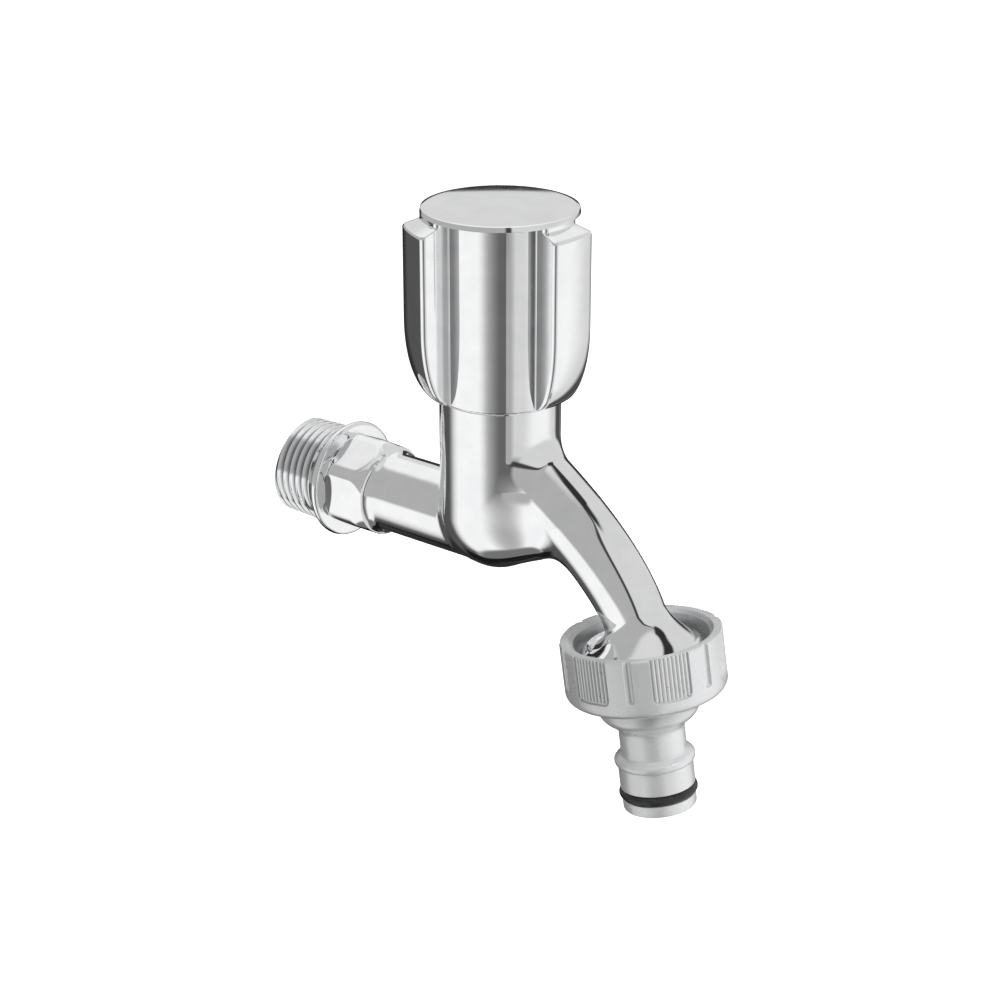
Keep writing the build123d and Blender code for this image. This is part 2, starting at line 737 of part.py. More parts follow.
# Nut blank with rounded lower edge, bored for the thread and for the hose tail's hub
def nut_blank():
    blank = rod(nut_radius, -nut_above, nut_below)
    rims = blank.edges().filter_by(GeomType.CIRCLE).sort_by(Axis.Z)
    blank = fillet(rims[-1], nut_bottom_edge)
    rims = blank.edges().filter_by(GeomType.CIRCLE).sort_by(Axis.Z)
    blank = fillet(rims[0], nut_top_edge)
    bore = rod(nut_thread_root, -nut_above - cut_margin, nut_floor_top)
    mouth = turned(
        (0, -nut_above - cut_margin),
        (nut_thread_root + nut_mouth_chamfer + cut_margin, -nut_above - cut_margin),
        (nut_thread_root, -nut_above + nut_mouth_chamfer),
        (0, -nut_above + nut_mouth_chamfer),
    )
    hub_hole = rod(tail_hub_radius + tail_hub_clearance, nut_floor_top - cut_margin, nut_below + cut_margin)
    return blank - bore - mouth - hub_hole


# One recessed patch with its ribs, standing on the nut's wall around a middle angle
def nut_patch(middle):
    patch_end = nut_below - nut_patch_margin
    floor_radius = nut_radius - nut_patch_depth
    arc = CenterArc((0, 0), nut_radius, middle - nut_patch_angle / 2, nut_patch_angle)
    band = trace(arc, 2 * nut_patch_depth)
    step = nut_patch_angle / nut_ribs
    for rib in range(nut_ribs):
        angle = radians(middle - nut_patch_angle / 2 + (rib + 0.5) * step)
        rib_centre = (floor_radius * cos(angle), floor_radius * sin(angle))
        band -= Pos(*rib_centre) * Circle(nut_rib_radius)
    return Pos(0, 0, -nut_above - cut_margin) * extrude(band, patch_end + nut_above + cut_margin)


def nut_groove(angle):
    groove_end = nut_below - nut_groove_margin
    centre = nut_radius - nut_groove_depth + nut_groove_radius
    groove = rod(nut_groove_radius, -nut_above - cut_margin, groove_end)
    return Pos(centre * cos(radians(angle)), centre * sin(radians(angle)), 0) * groove


def union_nut():
    step = 360 / nut_patches
    solid = nut_blank()
    for patch in range(nut_patches):
        middle = nut_patch_start + patch * step
        solid -= nut_patch(middle)
        solid -= nut_groove(middle + step / 2)
    foot = nut_thread_root + thread_bury
    start = -collar_length + thread_margin + outlet_thread_pitch
    ridge = thread_ridge(foot, nut_thread_crest, outlet_thread_pitch, outlet_thread_turns, start)
    return outlet_place * (solid + ridge)


def outlet_washer():
    return outlet_place * ring(washer_inner_radius, tail_flange_radius, static_gap, washer_bottom)


# Flange, hub, flared shoulder, neck, snap collar and nozzle with a ring groove near its end
def hose_tail():
    groove_low = tail_ring_middle - tail_ring_groove_width / 2
    groove_high = tail_ring_middle + tail_ring_groove_width / 2
    groove_radius = tail_body_radius + tail_ring_stand - tail_ring_cord - static_gap
    collar_low = tail_collar_middle - tail_collar_width / 2
    collar_high = tail_collar_middle + tail_collar_width / 2
    outline = [
        Line((0, tail_flange_top), (tail_flange_radius, tail_flange_top)),
        Line((tail_flange_radius, tail_flange_top), (tail_flange_radius, tail_flange_bottom)),
        Line((tail_flange_radius, tail_flange_bottom), (tail_hub_radius, tail_flange_bottom)),
        Line((tail_hub_radius, tail_flange_bottom), (tail_hub_radius, tail_hub_end)),
        Bezier(
            (tail_hub_radius, tail_hub_end),
            (tail_hub_radius - tail_flare_fullness[0], tail_hub_end + tail_flare_fullness[1]),
            (tail_neck_radius, tail_neck_start - tail_flare_pull),
            (tail_neck_radius, tail_neck_start),
        ),
        Line((tail_neck_radius, tail_neck_start), (tail_neck_radius, collar_low)),
        ThreePointArc(
            (tail_neck_radius, collar_low),
            (tail_collar_radius, tail_collar_middle),
            (tail_body_radius, collar_high),
        ),
        Line((tail_body_radius, collar_high), (tail_body_radius, groove_low)),
        Line((tail_body_radius, groove_low), (groove_radius, groove_low)),
        Line((groove_radius, groove_low), (groove_radius, groove_high)),
        Line((groove_radius, groove_high), (tail_end_radius, groove_high)),
        Line((tail_end_radius, groove_high), (tail_end_radius, tail_end - tail_end_chamfer)),
        Line((tail_end_radius, tail_end - tail_end_chamfer), (tail_end_radius - tail_end_chamfer, tail_end)),
        Line((tail_end_radius - tail_end_chamfer, tail_end), (0, tail_end)),
        Line((0, tail_end), (0, tail_flange_top)),
    ]
    solid = revolve(Plane.XZ * make_face(outline), Axis.Z)
    return outlet_place * (solid - rod(tail_bore_radius, tail_flange_top - cut_margin, tail_end + cut_margin))


def hose_tail_o_ring():
    middle = tail_body_radius + tail_ring_stand - tail_ring_cord / 2
    return outlet_place * rubber_ring(middle, tail_ring_cord, tail_ring_middle)


nodes = {
    "tap_body": tap_body(),
    "headwork_housing": headwork_housing(),
    "headwork_gasket": headwork_gasket(),
    "seat_seal": seat_seal(),
    "fixed_disc": fixed_disc(),
    "moving_disc": moving_disc(),
    "spindle": spindle(),
    "spindle_o_ring_lower": spindle_o_ring(ring_heights[0]),
    "spindle_o_ring_upper": spindle_o_ring(ring_heights[1]),
    "thrust_washer": thrust_washer(),
    "spindle_retaining_ring": retaining_ring(),
    "handle": handle(),
    "handle_insert": handle_insert(),
    "screw_washer": screw_washer(),
    "handle_screw": handle_screw(),
    "index_cap": index_cap(),
    "union_nut": union_nut(),
    "outlet_washer": outlet_washer(),
    "hose_tail": hose_tail(),
    "hose_tail_o_ring": hose_tail_o_ring(),
}

os.makedirs("parts", exist_ok=True)
for name, shape in nodes.items():
    export_step(shape, f"parts/{name}.step")

nut_travel = unscrew_turns * outlet_thread_pitch
print(f"unscrewing travel {nut_travel:.3f} mm over {360 * unscrew_turns:.0f} degrees")
print(f"travel per radian {outlet_thread_pitch / (2 * pi):.5f} mm")
print(f"outlet axis {outlet_axis}, outlet face's centre {outlet_centre}")
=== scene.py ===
import json
from math import acos, asin, atan2, ceil, cos, pi, radians, sin, sqrt, tan

import bmesh
import bpy
import numpy as np
from mathutils import Matrix, Vector

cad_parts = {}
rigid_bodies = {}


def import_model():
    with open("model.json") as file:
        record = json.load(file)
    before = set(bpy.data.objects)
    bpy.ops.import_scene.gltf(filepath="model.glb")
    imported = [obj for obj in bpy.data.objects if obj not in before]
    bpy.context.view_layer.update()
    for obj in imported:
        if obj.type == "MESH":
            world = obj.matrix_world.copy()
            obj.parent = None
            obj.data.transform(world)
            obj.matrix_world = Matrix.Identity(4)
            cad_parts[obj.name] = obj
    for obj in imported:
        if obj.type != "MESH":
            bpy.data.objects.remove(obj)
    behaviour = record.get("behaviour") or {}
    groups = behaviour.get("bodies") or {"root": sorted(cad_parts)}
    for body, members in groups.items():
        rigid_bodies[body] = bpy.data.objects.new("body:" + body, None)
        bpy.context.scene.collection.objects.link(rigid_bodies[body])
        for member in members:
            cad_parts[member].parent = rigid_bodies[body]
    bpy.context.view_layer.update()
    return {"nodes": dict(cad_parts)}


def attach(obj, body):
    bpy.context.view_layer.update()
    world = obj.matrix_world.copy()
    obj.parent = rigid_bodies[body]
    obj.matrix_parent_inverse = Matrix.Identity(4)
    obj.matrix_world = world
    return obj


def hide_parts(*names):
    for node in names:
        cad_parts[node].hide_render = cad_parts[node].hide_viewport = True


# Bib tap with a three-lobed handle and a hose tail on its outlet.
# Pieces are worked out in millimetres in the frame of the CAD and become metres in their meshes.
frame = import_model()
nodes = frame["nodes"]
mm = 0.001
for leftover in [item for item in bpy.data.objects if item.name in ("Cube", "Light", "Camera")]:
    bpy.data.objects.remove(leftover)
print("frame loaded:", len(nodes), "nodes")

# Places that several pieces share: the barrel's axis, and the outlet's axis, which leans forward
barrelReach = 41.2
outletTilt = radians(9.3)
outletFace = np.array([0.0, -77.6, -20.1])
outletAxis = np.array([0.0, -sin(outletTilt), -cos(outletTilt)])
outletAside = np.array([1.0, 0.0, 0.0])
outletAcross = np.cross(outletAxis, outletAside)


# Meshes

class Sizes(dict):
    # a piece's own values, read as plain attributes
    __getattr__ = dict.__getitem__


def placed(name, data):
    made = bpy.data.objects.new(name, data)
    bpy.context.scene.collection.objects.link(made)
    return made


def baked(item):
    # an object's final mesh, for which the object itself goes
    mesh = bpy.data.meshes.new_from_object(item.evaluated_get(bpy.context.evaluated_depsgraph_get()))
    bpy.data.objects.remove(item)
    return mesh


def outletPoints(radius, angle, along):
    # points about the outlet axis, angles in radians from +X, along runs downwards from the outlet face
    radius, angle, along = np.broadcast_arrays(radius, angle, along)
    return (outletFace
            + along[..., None] * outletAxis
            + (radius * np.cos(angle))[..., None] * outletAside
            + (radius * np.sin(angle))[..., None] * outletAcross)


def barrelPoints(x, y, z):
    # points about the barrel's axis
    x, y, z = np.broadcast_arrays(x, y, z)
    return np.stack([x, y - barrelReach, z], axis=-1)


def newPiece(name, points, faces, body, material, stands=(), sharp=32):
    mesh = bpy.data.meshes.new(name)
    mesh.from_pydata((np.asarray(points) * mm).tolist(), [], faces)
    return finishPiece(name, mesh, body, material, stands, sharp)


def finishPiece(name, mesh, body, material, stands=(), sharp=32):
    # doubles merged, normals outwards, smooth but for real edges
    shape = bmesh.new()
    shape.from_mesh(mesh)
    bmesh.ops.remove_doubles(shape, verts=shape.verts, dist=0.002 * mm)
    bmesh.ops.dissolve_degenerate(shape, edges=shape.edges, dist=0.0005 * mm)
    bmesh.ops.recalc_face_normals(shape, faces=shape.faces)
    shape.to_mesh(mesh)
    shape.free()
    mesh.shade_smooth()
    mesh.set_sharp_from_angle(angle=radians(sharp))
    mesh.materials.clear()
    mesh.materials.append(material)
    piece = placed(name, mesh)
    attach(piece, body)
    if stands:
        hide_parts(*stands)
    print(name + ":", len(mesh.polygons), "faces")
    return piece


def readAll(items, field, width, kind=float):
    # one field of all vertices, edges or corners, a row for each
    values = np.empty(len(items) * width, kind)
    items.foreach_get(field, values)
    return values.reshape(-1, width)


def allRound(count):
    return np.linspace(0, 2 * pi, count, endpoint=False)


def ringFaces(rows, columns, loop=False):
    # faces of a tube of rings; a loop also joins the last ring to the first
    faces = []
    for row in range(rows if loop else rows - 1):
        low = row * columns
        high = (row + 1) % rows * columns
        for column in range(columns):
            beside = (column + 1) % columns
            faces.append((low + column, low + beside, high + beside, high + column))
    return faces


def ringShape(rings, loop=False):
    # rings of equal length to points and faces, closed at both ends when it isn't a loop
    rings = np.asarray(rings)
    rows, columns = rings.shape[:2]
    points = rings.reshape(-1, 3)
    faces = ringFaces(rows, columns, loop)
    if not loop:
        first = len(points)
        points = np.vstack([points, rings[0].mean(0), rings[-1].mean(0)])
        for column in range(columns):
            beside = (column + 1) % columns
            faces.append((column, first, beside))
            faces.append(((rows - 1) * columns + column, (rows - 1) * columns + beside, first + 1))
    return points, faces


def roundedOutline(corners, steps=6, longest=3.0, closed=True):
    # corners are (radius, height, rounding); arcs get steps, long straight runs are divided
    corners = [tuple(corner) + (0,) * (3 - len(corner)) for corner in corners]
    count = len(corners)
    out = []
    for index, (x, y, rounding) in enumerate(corners):
        here = np.array([x, y], float)
        if rounding and (closed or 0 < index < count - 1):
            before = np.array(corners[index - 1][:2], float) - here
            after = np.array(corners[(index + 1) % count][:2], float) - here
            before /= np.linalg.norm(before)
            after /= np.linalg.norm(after)
            half = acos(np.clip(before @ after, -1, 1)) / 2
            reach = rounding / tan(half)
            middle = here + (before + after) / np.linalg.norm(before + after) * rounding / sin(half)
            start = here + before * reach - middle
            stop = here + after * reach - middle
            turn = atan2(start[0] * stop[1] - start[1] * stop[0], start @ stop)
            for step in range(steps + 1):
                angle = turn * step / steps
                out.append(middle + np.array([
                    start[0] * cos(angle) - start[1] * sin(angle),
                    start[0] * sin(angle) + start[1] * cos(angle)]))
        else:
            out.append(here)
    fine = []
    for index, point in enumerate(out):
        fine.append(point)
        if index + 1 < len(out) or closed:
            onward = out[(index + 1) % len(out)]
            parts = ceil(np.linalg.norm(onward - point) / longest)
            for part in range(1, parts):
                fine.append(point + (onward - point) * part / parts)
    return np.array(fine)


def bezier(points, shares):
    # a cubic curve at some shares of its run
    start, pull, push, end = [np.array(point, float) for point in points]
    share = np.asarray(shares, float)[..., None]
    rest = 1 - share
    return (rest ** 3 * start + 3 * rest ** 2 * share * pull
            + 3 * rest * share ** 2 * push + share ** 3 * end)


def soft(value, low, high):
    # 0 below low, 1 above high, soft in between
    share = np.clip((value - low) / (high - low), 0, 1)
    return share * share * (3 - 2 * share)


# Nodes for materials and for geometry

class Wire:
    # a node's output, for writing node maths as plain expressions
    def __init__(self, net, socket):
        self.net = net
        self.socket = socket

    def math(self, operation, *others):
        return self.net.put("ShaderNodeMath", dict(enumerate((self,) + others)), operation=operation)[0]

    def __add__(self, other):
        return self.math("ADD", other)

    __radd__ = __add__

    def __sub__(self, other):
        return self.math("SUBTRACT", other)

    def __rsub__(self, other):
        return self * -1 + other

    def __mul__(self, other):
        return self.math("MULTIPLY", other)

    __rmul__ = __mul__

    def __truediv__(self, other):
        return self.math("DIVIDE", other)

    def __rtruediv__(self, other):
        return self ** -1 * other

    def __pow__(self, other):
        return self.math("POWER", other)

    def clamped(self):
        return self.math("MAXIMUM", 0.0).math("MINIMUM", 1.0)

    def between(self, low, high):
        # 0 below low, 1 above high, soft in between
        share = ((self - low) / (high - low)).clamped()
        return share * share * (3 - 2 * share)


class Net:
    # one node tree that nodes are put into
    def __init__(self, tree):
        self.tree = tree

    def put(self, kind, sockets=None, **settings):
        node = self.tree.nodes.new(kind)
        for name, value in settings.items():
            setattr(node, name, value)
        for name, value in (sockets or {}).items():
            socket = node.inputs[name]
            if isinstance(value, Wire):
                self.tree.links.new(value.socket, socket)
            else:
                socket.default_value = value
        return [Wire(self, socket) for socket in node.outputs]

    def named(self, kind, output, sockets=None, **settings):
        wires = self.put(kind, sockets, **settings)
        return next(wire for wire in wires if wire.socket.name == output and wire.socket.enabled)


def linear(shade):
    # a shade as the eye reads it, to the light that it stands for
    return shade / 12.92 if shade <= 0.04045 else ((shade + 0.055) / 1.055) ** 2.4


def newMaterial(name, paint):
    material = bpy.data.materials.new(name)
    material.use_nodes = True
    material.node_tree.nodes.clear()
    net = Net(material.node_tree)
    net.put("ShaderNodeOutputMaterial", {"Surface": paint(net)})
    return material


def shiny(net, color, roughness, normal=None, metal=0.0):
    sockets = {"Base Color": color, "Roughness": roughness, "Metallic": metal}
    if normal:
        sockets["Normal"] = normal
    return net.put("ShaderNodeBsdfPrincipled", sockets)[0]


def noise(net, scale, detail=3.0, rough=0.5, squeeze=(1, 1, 1)):
    place = net.named("ShaderNodeTexCoord", "Object")
    place = net.named("ShaderNodeMapping", "Vector", {"Vector": place, "Scale": squeeze})
    return net.named("ShaderNodeTexNoise", "Fac", {
        "Vector": place, "Scale": scale, "Detail": detail, "Roughness": rough})


def between(net, factor, first, second):
    first, second = [color if isinstance(color, Wire) else (*color, 1) for color in (first, second)]
    return net.put("ShaderNodeMix", {"Factor": factor, 6: first, 7: second}, data_type="RGBA")[2]


def bumped(net, height, distance, strength=1.0):
    return net.put("ShaderNodeBump", {"Height": height, "Distance": distance, "Strength": strength})[0]


# Finishes

chrome = Sizes(
    dark=(0.90, 0.905, 0.915),
    light=(0.95, 0.952, 0.956),
    polish=0.035,
    haze=0.035,
    root=(0.20, 0.20, 0.21),       # painted shade low in the inlet's thread, darkening the colour in its roots
    rootSpan=(9.55, 10.4),         # radii, in millimetres, between which it fades
    rootTaper=0.03125,
)


def paintChrome(net):
    cloud = noise(net, 260, 4)
    wipe = noise(net, 90, 5, 0.6, (1, 1, 6))
    color = between(net, cloud.between(0.3, 0.7), chrome.dark, chrome.light)
    roughness = chrome.polish + chrome.haze * wipe.between(0.45, 0.8)
    ripple = bumped(net, noise(net, 120, 2), 0.00001, 0.5)
    x, y, z = net.put("ShaderNodeSeparateXYZ", {0: net.named("ShaderNodeTexCoord", "Object")})
    # painted shade: towards the roots of the inlet's thread the colour darkens to chrome.root, and the
    # metal there is also made rougher
    radius = (x * x + z * z).math("SQRT") * 1000 + y * 1000 * chrome.rootTaper
    low = (1 - radius.between(*chrome.rootSpan)) * (y * 1000).between(0, 0.4)
    color = between(net, low * 0.6, color, chrome.root)
    return shiny(net, color, roughness + low * 0.2, ripple, 1.0)


cap = Sizes(
    dark=(0.88, 0.885, 0.893),
    light=(0.94, 0.943, 0.948),
    polish=0.03,
    haze=0.03,
)


def paintCap(net):
    cloud = noise(net, 180, 4)
    fine = noise(net, 1400, 2)
    color = between(net, cloud.between(0.3, 0.7), cap.dark, cap.light)
    roughness = cap.polish + cap.haze * cloud.between(0.4, 0.75) + 0.02 * fine
    return shiny(net, color, roughness, None, 1.0)


nylon = Sizes(
    deep=(0.58, 0.585, 0.59),
    pale=(0.68, 0.685, 0.69),
    sheen=0.45,
    gloss=0.24,
    grain=0.000003,
)


def paintNylon(net):
    flow = noise(net, 60, 4, 0.6, (1, 1, 0.4))
    speck = noise(net, 2200, 2)
    color = between(net, (flow * 0.8 + speck * 0.2).between(0.3, 0.7), nylon.deep, nylon.pale)
    roughness = nylon.gloss + 0.10 * noise(net, 500, 3)
    grain = bumped(net, noise(net, 1600, 3), nylon.grain, 0.8)
    return shiny(net, color, roughness, grain, nylon.sheen + 0.06 * flow)


rubber = Sizes(deep=(0.010, 0.010, 0.011), worn=(0.024, 0.024, 0.025), gloss=0.24)


def paintRubber(net):
    bloom = noise(net, 420, 4)
    color = between(net, bloom.between(0.35, 0.75), rubber.deep, rubber.worn)
    roughness = rubber.gloss + 0.22 * bloom
    return shiny(net, color, roughness, bumped(net, noise(net, 2600, 2), 0.00001, 0.6))


brass = Sizes(dull=(0.56, 0.40, 0.16), bright=(0.80, 0.62, 0.30))


def paintBrass(net):
    cloud = noise(net, 200, 4)
    turning = noise(net, 700, 2, 0.5, (0.2, 0.2, 6))
    color = between(net, cloud.between(0.3, 0.75), brass.dull, brass.bright)
    roughness = 0.22 + 0.18 * turning
    return shiny(net, color, roughness, bumped(net, turning, 0.00001, 0.7), 1.0)


ceramic = Sizes(shade=(0.80, 0.79, 0.75), light=(0.90, 0.89, 0.86))


def paintCeramic(net):
    cloud = noise(net, 900, 3)
    color = between(net, cloud.between(0.3, 0.7), ceramic.shade, ceramic.light)
    return shiny(net, color, 0.12 + 0.1 * cloud, bumped(net, noise(net, 4000, 2), 0.000003, 0.5))


steel = Sizes(dull=(0.42, 0.42, 0.43), bright=(0.62, 0.62, 0.63))


def paintSteel(net):
    brushed = noise(net, 600, 3, 0.6, (1, 1, 8))
    color = between(net, brushed.between(0.3, 0.7), steel.dull, steel.bright)
    return shiny(net, color, 0.24 + 0.2 * brushed, bumped(net, brushed, 0.000008, 0.6), 1.0)


acetal = Sizes(shade=(0.72, 0.72, 0.70), light=(0.84, 0.84, 0.82))


def paintAcetal(net):
    cloud = noise(net, 500, 3)
    color = between(net, cloud.between(0.3, 0.7), acetal.shade, acetal.light)
    return shiny(net, color, 0.4 + 0.15 * cloud, bumped(net, noise(net, 3000, 2), 0.000006, 0.5))


chromePlate = newMaterial("chrome_plate", paintChrome)
capPlate = newMaterial("cap_plate", paintCap)
greyNylon = newMaterial("grey_nylon", paintNylon)
blackRubber = newMaterial("black_rubber", paintRubber)
bareBrass = newMaterial("bare_brass", paintBrass)
discCeramic = newMaterial("disc_ceramic", paintCeramic)
plainSteel = newMaterial("plain_steel", paintSteel)
whiteAcetal = newMaterial("white_acetal", paintAcetal)
print("finishes made")

# the inner parts keep their CAD meshes and get finishes
innerFinishes = {
    bareBrass: ["headwork_housing", "spindle", "handle_insert"],
    discCeramic: ["fixed_disc", "moving_disc"],
    blackRubber: ["headwork_gasket", "seat_seal", "spindle_o_ring_lower", "spindle_o_ring_upper",
                  "outlet_washer"],
    plainSteel: ["handle_screw", "screw_washer", "spindle_retaining_ring"],
    whiteAcetal: ["thrust_washer"],
}
for finish, names in innerFinishes.items():
    for name in names:
        mesh = nodes[name].data
        mesh.materials.clear()
        mesh.materials.append(finish)
print("inner parts finished")


# Casting: barrel, arm, spout and outlet collar in one smooth skin

casting = Sizes(
    barrelRadius=12.05,
    barrelTop=28.3,
    barrelFloor=-7.9,
    topEdge=0.4,
    armRadius=8.23,
    armEnd=-16.0,           # where the inlet end's own piece takes over
    armBlend=1.2,
    waterway=5.0,
    waterwayEnd=-36.0,
    spoutBlend=(12.0, 2.6),  # of the hollow under the spout and over it
    blendSpan=(-4.0, 12.0),  # heights between which it changes
    spoutStart=(5.0, 13.2),
    spoutPull=(17.6, 9.0),
    spoutEndPull=9.8,
    spoutStraight=5.0,
    rootRadius=9.2,
    rootShare=0.42,
    rootNarrow=0.26,         # how much narrower than tall the root is
    evenRadius=7.0,
    evenShare=0.35,
    tipRadius=6.1,
    collarRadius=12.06,
    collarLength=4.4,
    flareLength=5.9,
    flarePull=3.2,
    flareFullness=(3.6, 1.2),
    collarEdge=0.7,
    collarZone=14.0,         # from the outlet face up, where the collar's limits hold
    faceEdge=0.15,
    voxel=0.42,
)
spoutEnd = outletFace - outletAxis * casting.spoutStraight
spoutLine = (
    (0, -barrelReach - casting.spoutStart[0], casting.spoutStart[1]),
    (0, -barrelReach - casting.spoutPull[0], casting.spoutPull[1]),
    spoutEnd - outletAxis * casting.spoutEndPull,
    spoutEnd,
)


def spoutRadius(share):
    root = np.clip(1 - share / casting.rootShare, 0, 1) ** 2
    tip = np.clip((share - casting.evenShare) / (1 - casting.evenShare), 0, 1)
    body = casting.evenRadius + (casting.tipRadius - casting.evenRadius) * tip
    return body + (casting.rootRadius - casting.evenRadius) * root


spoutShares = np.linspace(0, 1, 41)
spoutStations = bezier(spoutLine, spoutShares)
spoutRuns = np.diff(np.array(spoutLine, float), axis=0) * 3
spoutBends = np.diff(spoutRuns, axis=0) * 2


flareCurve = bezier((
    (0, -casting.flareLength),
    (0, -casting.flarePull),
    (casting.flareFullness[0], -casting.flareFullness[1]),
    (casting.collarRadius - casting.tipRadius, 0),
), np.linspace(0, 1, 600)) - [0, casting.collarLength]
flareSlope = np.gradient(flareCurve[:, 0], flareCurve[:, 1])


def flareAt(along):
    # how much the flare adds to the spout's radius, and how steeply
    beyond = np.maximum(along + casting.collarLength, 0)
    lift = np.interp(along, flareCurve[:, 1], flareCurve[:, 0]) + beyond * flareSlope[-1]
    return lift, np.interp(along, flareCurve[:, 1], flareSlope)


def toSpout(points):
    # distance to the spout's skin: nearest station on its centre line, then Newton's steps along it
    share = spoutShares[((points[:, None, :] - spoutStations) ** 2).sum(2).argmin(1)]
    for step in range(4):
        part = share[:, None]
        offset = bezier(spoutLine, share) - points
        rest = 1 - part
        run = rest ** 2 * spoutRuns[0] + 2 * rest * part * spoutRuns[1] + part ** 2 * spoutRuns[2]
        bend = rest * spoutBends[0] + part * spoutBends[1]
        steep = (run ** 2).sum(1) + (offset * bend).sum(1)
        move = (offset * run).sum(1) / np.maximum(steep, 0.15 * (run ** 2).sum(1))
        share = np.clip(share - np.clip(move, -0.03, 0.03), 0, 1)
    middle = bezier(spoutLine, share)
    narrow = 1 + casting.rootNarrow * np.clip(1 - share / casting.rootShare, 0, 1) ** 2
    drop = np.linalg.norm((middle - points)[:, 1:], axis=1)
    gap = np.hypot(points[:, 0] * narrow, drop)
    tight = np.maximum(np.hypot(points[:, 0] * narrow ** 2, drop) / np.maximum(gap, 1e-6), 1)
    along = (points - outletFace) @ outletAxis
    across = np.linalg.norm(points - outletFace - along[:, None] * outletAxis, axis=1)
    beyond = along > -casting.spoutStraight
    gap = np.where(beyond, across, gap)
    lift, steep = flareAt(np.where(beyond, along, (middle - outletFace) @ outletAxis))
    skin = (gap - spoutRadius(share) - lift) / tight / np.sqrt(1 + steep ** 2)
    near = along > -casting.collarZone
    skin = kept(skin, np.where(near, across - casting.collarRadius, -9), casting.collarEdge)
    return kept(skin, np.where(near, along, -9), casting.faceEdge)


def toBarrel(points):
    floorMiddle = casting.barrelFloor + casting.barrelRadius
    below = np.minimum(points[:, 2] - floorMiddle, 0)
    across = np.hypot(points[:, 0], points[:, 1] + barrelReach)
    return np.hypot(across, below) - casting.barrelRadius


def toArm(points):
    before = np.minimum(points[:, 1] + barrelReach, 0)
    return np.sqrt(points[:, 0] ** 2 + points[:, 2] ** 2 + before ** 2) - casting.armRadius


def joined(first, second, blend):
    # union of two distances with a hollow of the blend's radius where they meet
    inner = np.hypot(np.maximum(blend - first, 0), np.maximum(blend - second, 0))
    return np.maximum(blend, np.minimum(first, second)) - inner


def kept(first, second, edge):
    # intersection of two distances with a rounded edge
    outer = np.hypot(np.maximum(edge + first, 0), np.maximum(edge + second, 0))
    return np.minimum(-edge, np.maximum(first, second)) + outer


def toCasting(points):
    blend = np.interp(points[:, 2], casting.blendSpan, casting.spoutBlend)
    skin = joined(toBarrel(points), toSpout(points), blend)
    skin = joined(skin, toArm(points), casting.armBlend)
    return kept(skin, points[:, 2] - casting.barrelTop, casting.topEdge)


def slope(distance, points, step=0.02):
    parts = []
    for axis in range(3):
        shift = np.zeros(3)
        shift[axis] = step
        parts.append(distance(points + shift) - distance(points - shift))
    steep = np.stack(parts, axis=1)
    return steep / np.maximum(np.linalg.norm(steep, axis=1, keepdims=True), 1e-9)


def turnedRings(outline, columns, place):
    # rings of an outline of (radius, height) about an axis
    return np.array([place(radius, allRound(columns), height) for radius, height in outline])


def aboutBarrel(radius, angle, height):
    return barrelPoints(radius * np.cos(angle), radius * np.sin(angle), height)


def aboutInlet(radius, angle, along):
    radius, angle, along = np.broadcast_arrays(radius, angle, along)
    return np.stack([radius * np.cos(angle), along, radius * np.sin(angle)], axis=-1)


def roughCasting():
    # closed lumps whose union is close to the skin
    lumps = []
    floorMiddle = casting.barrelFloor + casting.barrelRadius
    bowl = [(casting.barrelRadius * cos(a), floorMiddle + casting.barrelRadius * sin(a))
            for a in np.linspace(-pi / 2 + 0.05, 0, 16)]
    wall = bowl + [(casting.barrelRadius, casting.barrelTop)]
    lumps.append(ringShape(turnedRings(wall, 64, aboutBarrel)))
    arm = [(casting.armRadius, casting.armEnd + 3), (casting.armRadius, -barrelReach)]
    lumps.append(ringShape(turnedRings(arm, 48, aboutInlet)))
    ahead = np.gradient(spoutStations, axis=0)
    ahead /= np.linalg.norm(ahead, axis=1, keepdims=True)
    aside = np.array([1.0, 0, 0])
    up = np.cross(ahead, aside)
    angle = allRound(48)[None, :, None]
    radius = spoutRadius(spoutShares)[:, None, None]
    tube = (spoutStations[:, None, :] + radius * np.cos(angle) * aside
            + radius * np.sin(angle) * up[:, None, :])
    lumps.append(ringShape(tube))
    collar = [(casting.tipRadius + lift, along) for lift, along in flareCurve[::20]]
    collar.append((casting.collarRadius, 0))
    lumps.append(ringShape(turnedRings(collar, 64, outletPoints)))
    points = []
    faces = []
    for lumpPoints, lumpFaces in lumps:
        base = sum(len(part) for part in points)
        points.append(lumpPoints)
        faces += [tuple(base + corner for corner in face) for face in lumpFaces]
    mesh = bpy.data.meshes.new("rough")
    mesh.from_pydata((np.vstack(points) * mm).tolist(), [], faces)
    shape = bmesh.new()
    shape.from_mesh(mesh)
    bmesh.ops.recalc_face_normals(shape, faces=shape.faces)
    shape.to_mesh(mesh)
    shape.free()
    return mesh


def remeshed(mesh, voxel):
    lump = placed("lump", mesh)
    remesh = lump.modifiers.new("remesh", "REMESH")
    remesh.mode = "VOXEL"
    remesh.voxel_size = voxel * mm
    remesh.adaptivity = 0
    return baked(lump)


def ofKind(items, kind):
    return [item for item in items if isinstance(item, kind)]


def toCircle(corners, radius):
    # corners moved straight out or in to a true circle about the inlet's axis
    for corner in corners:
        flat = Vector((corner.co.x, 0, corner.co.z)).normalized() * radius * mm
        corner.co.x, corner.co.z = flat.x, flat.z


def grownRim(shape, rim):
    # a new row of faces from a rim, with its outer corners and edges
    made = bmesh.ops.extrude_edge_only(shape, edges=rim)["geom"]
    edges = [edge for edge in ofKind(made, bmesh.types.BMEdge) if edge.is_boundary]
    return ofKind(made, bmesh.types.BMVert), edges


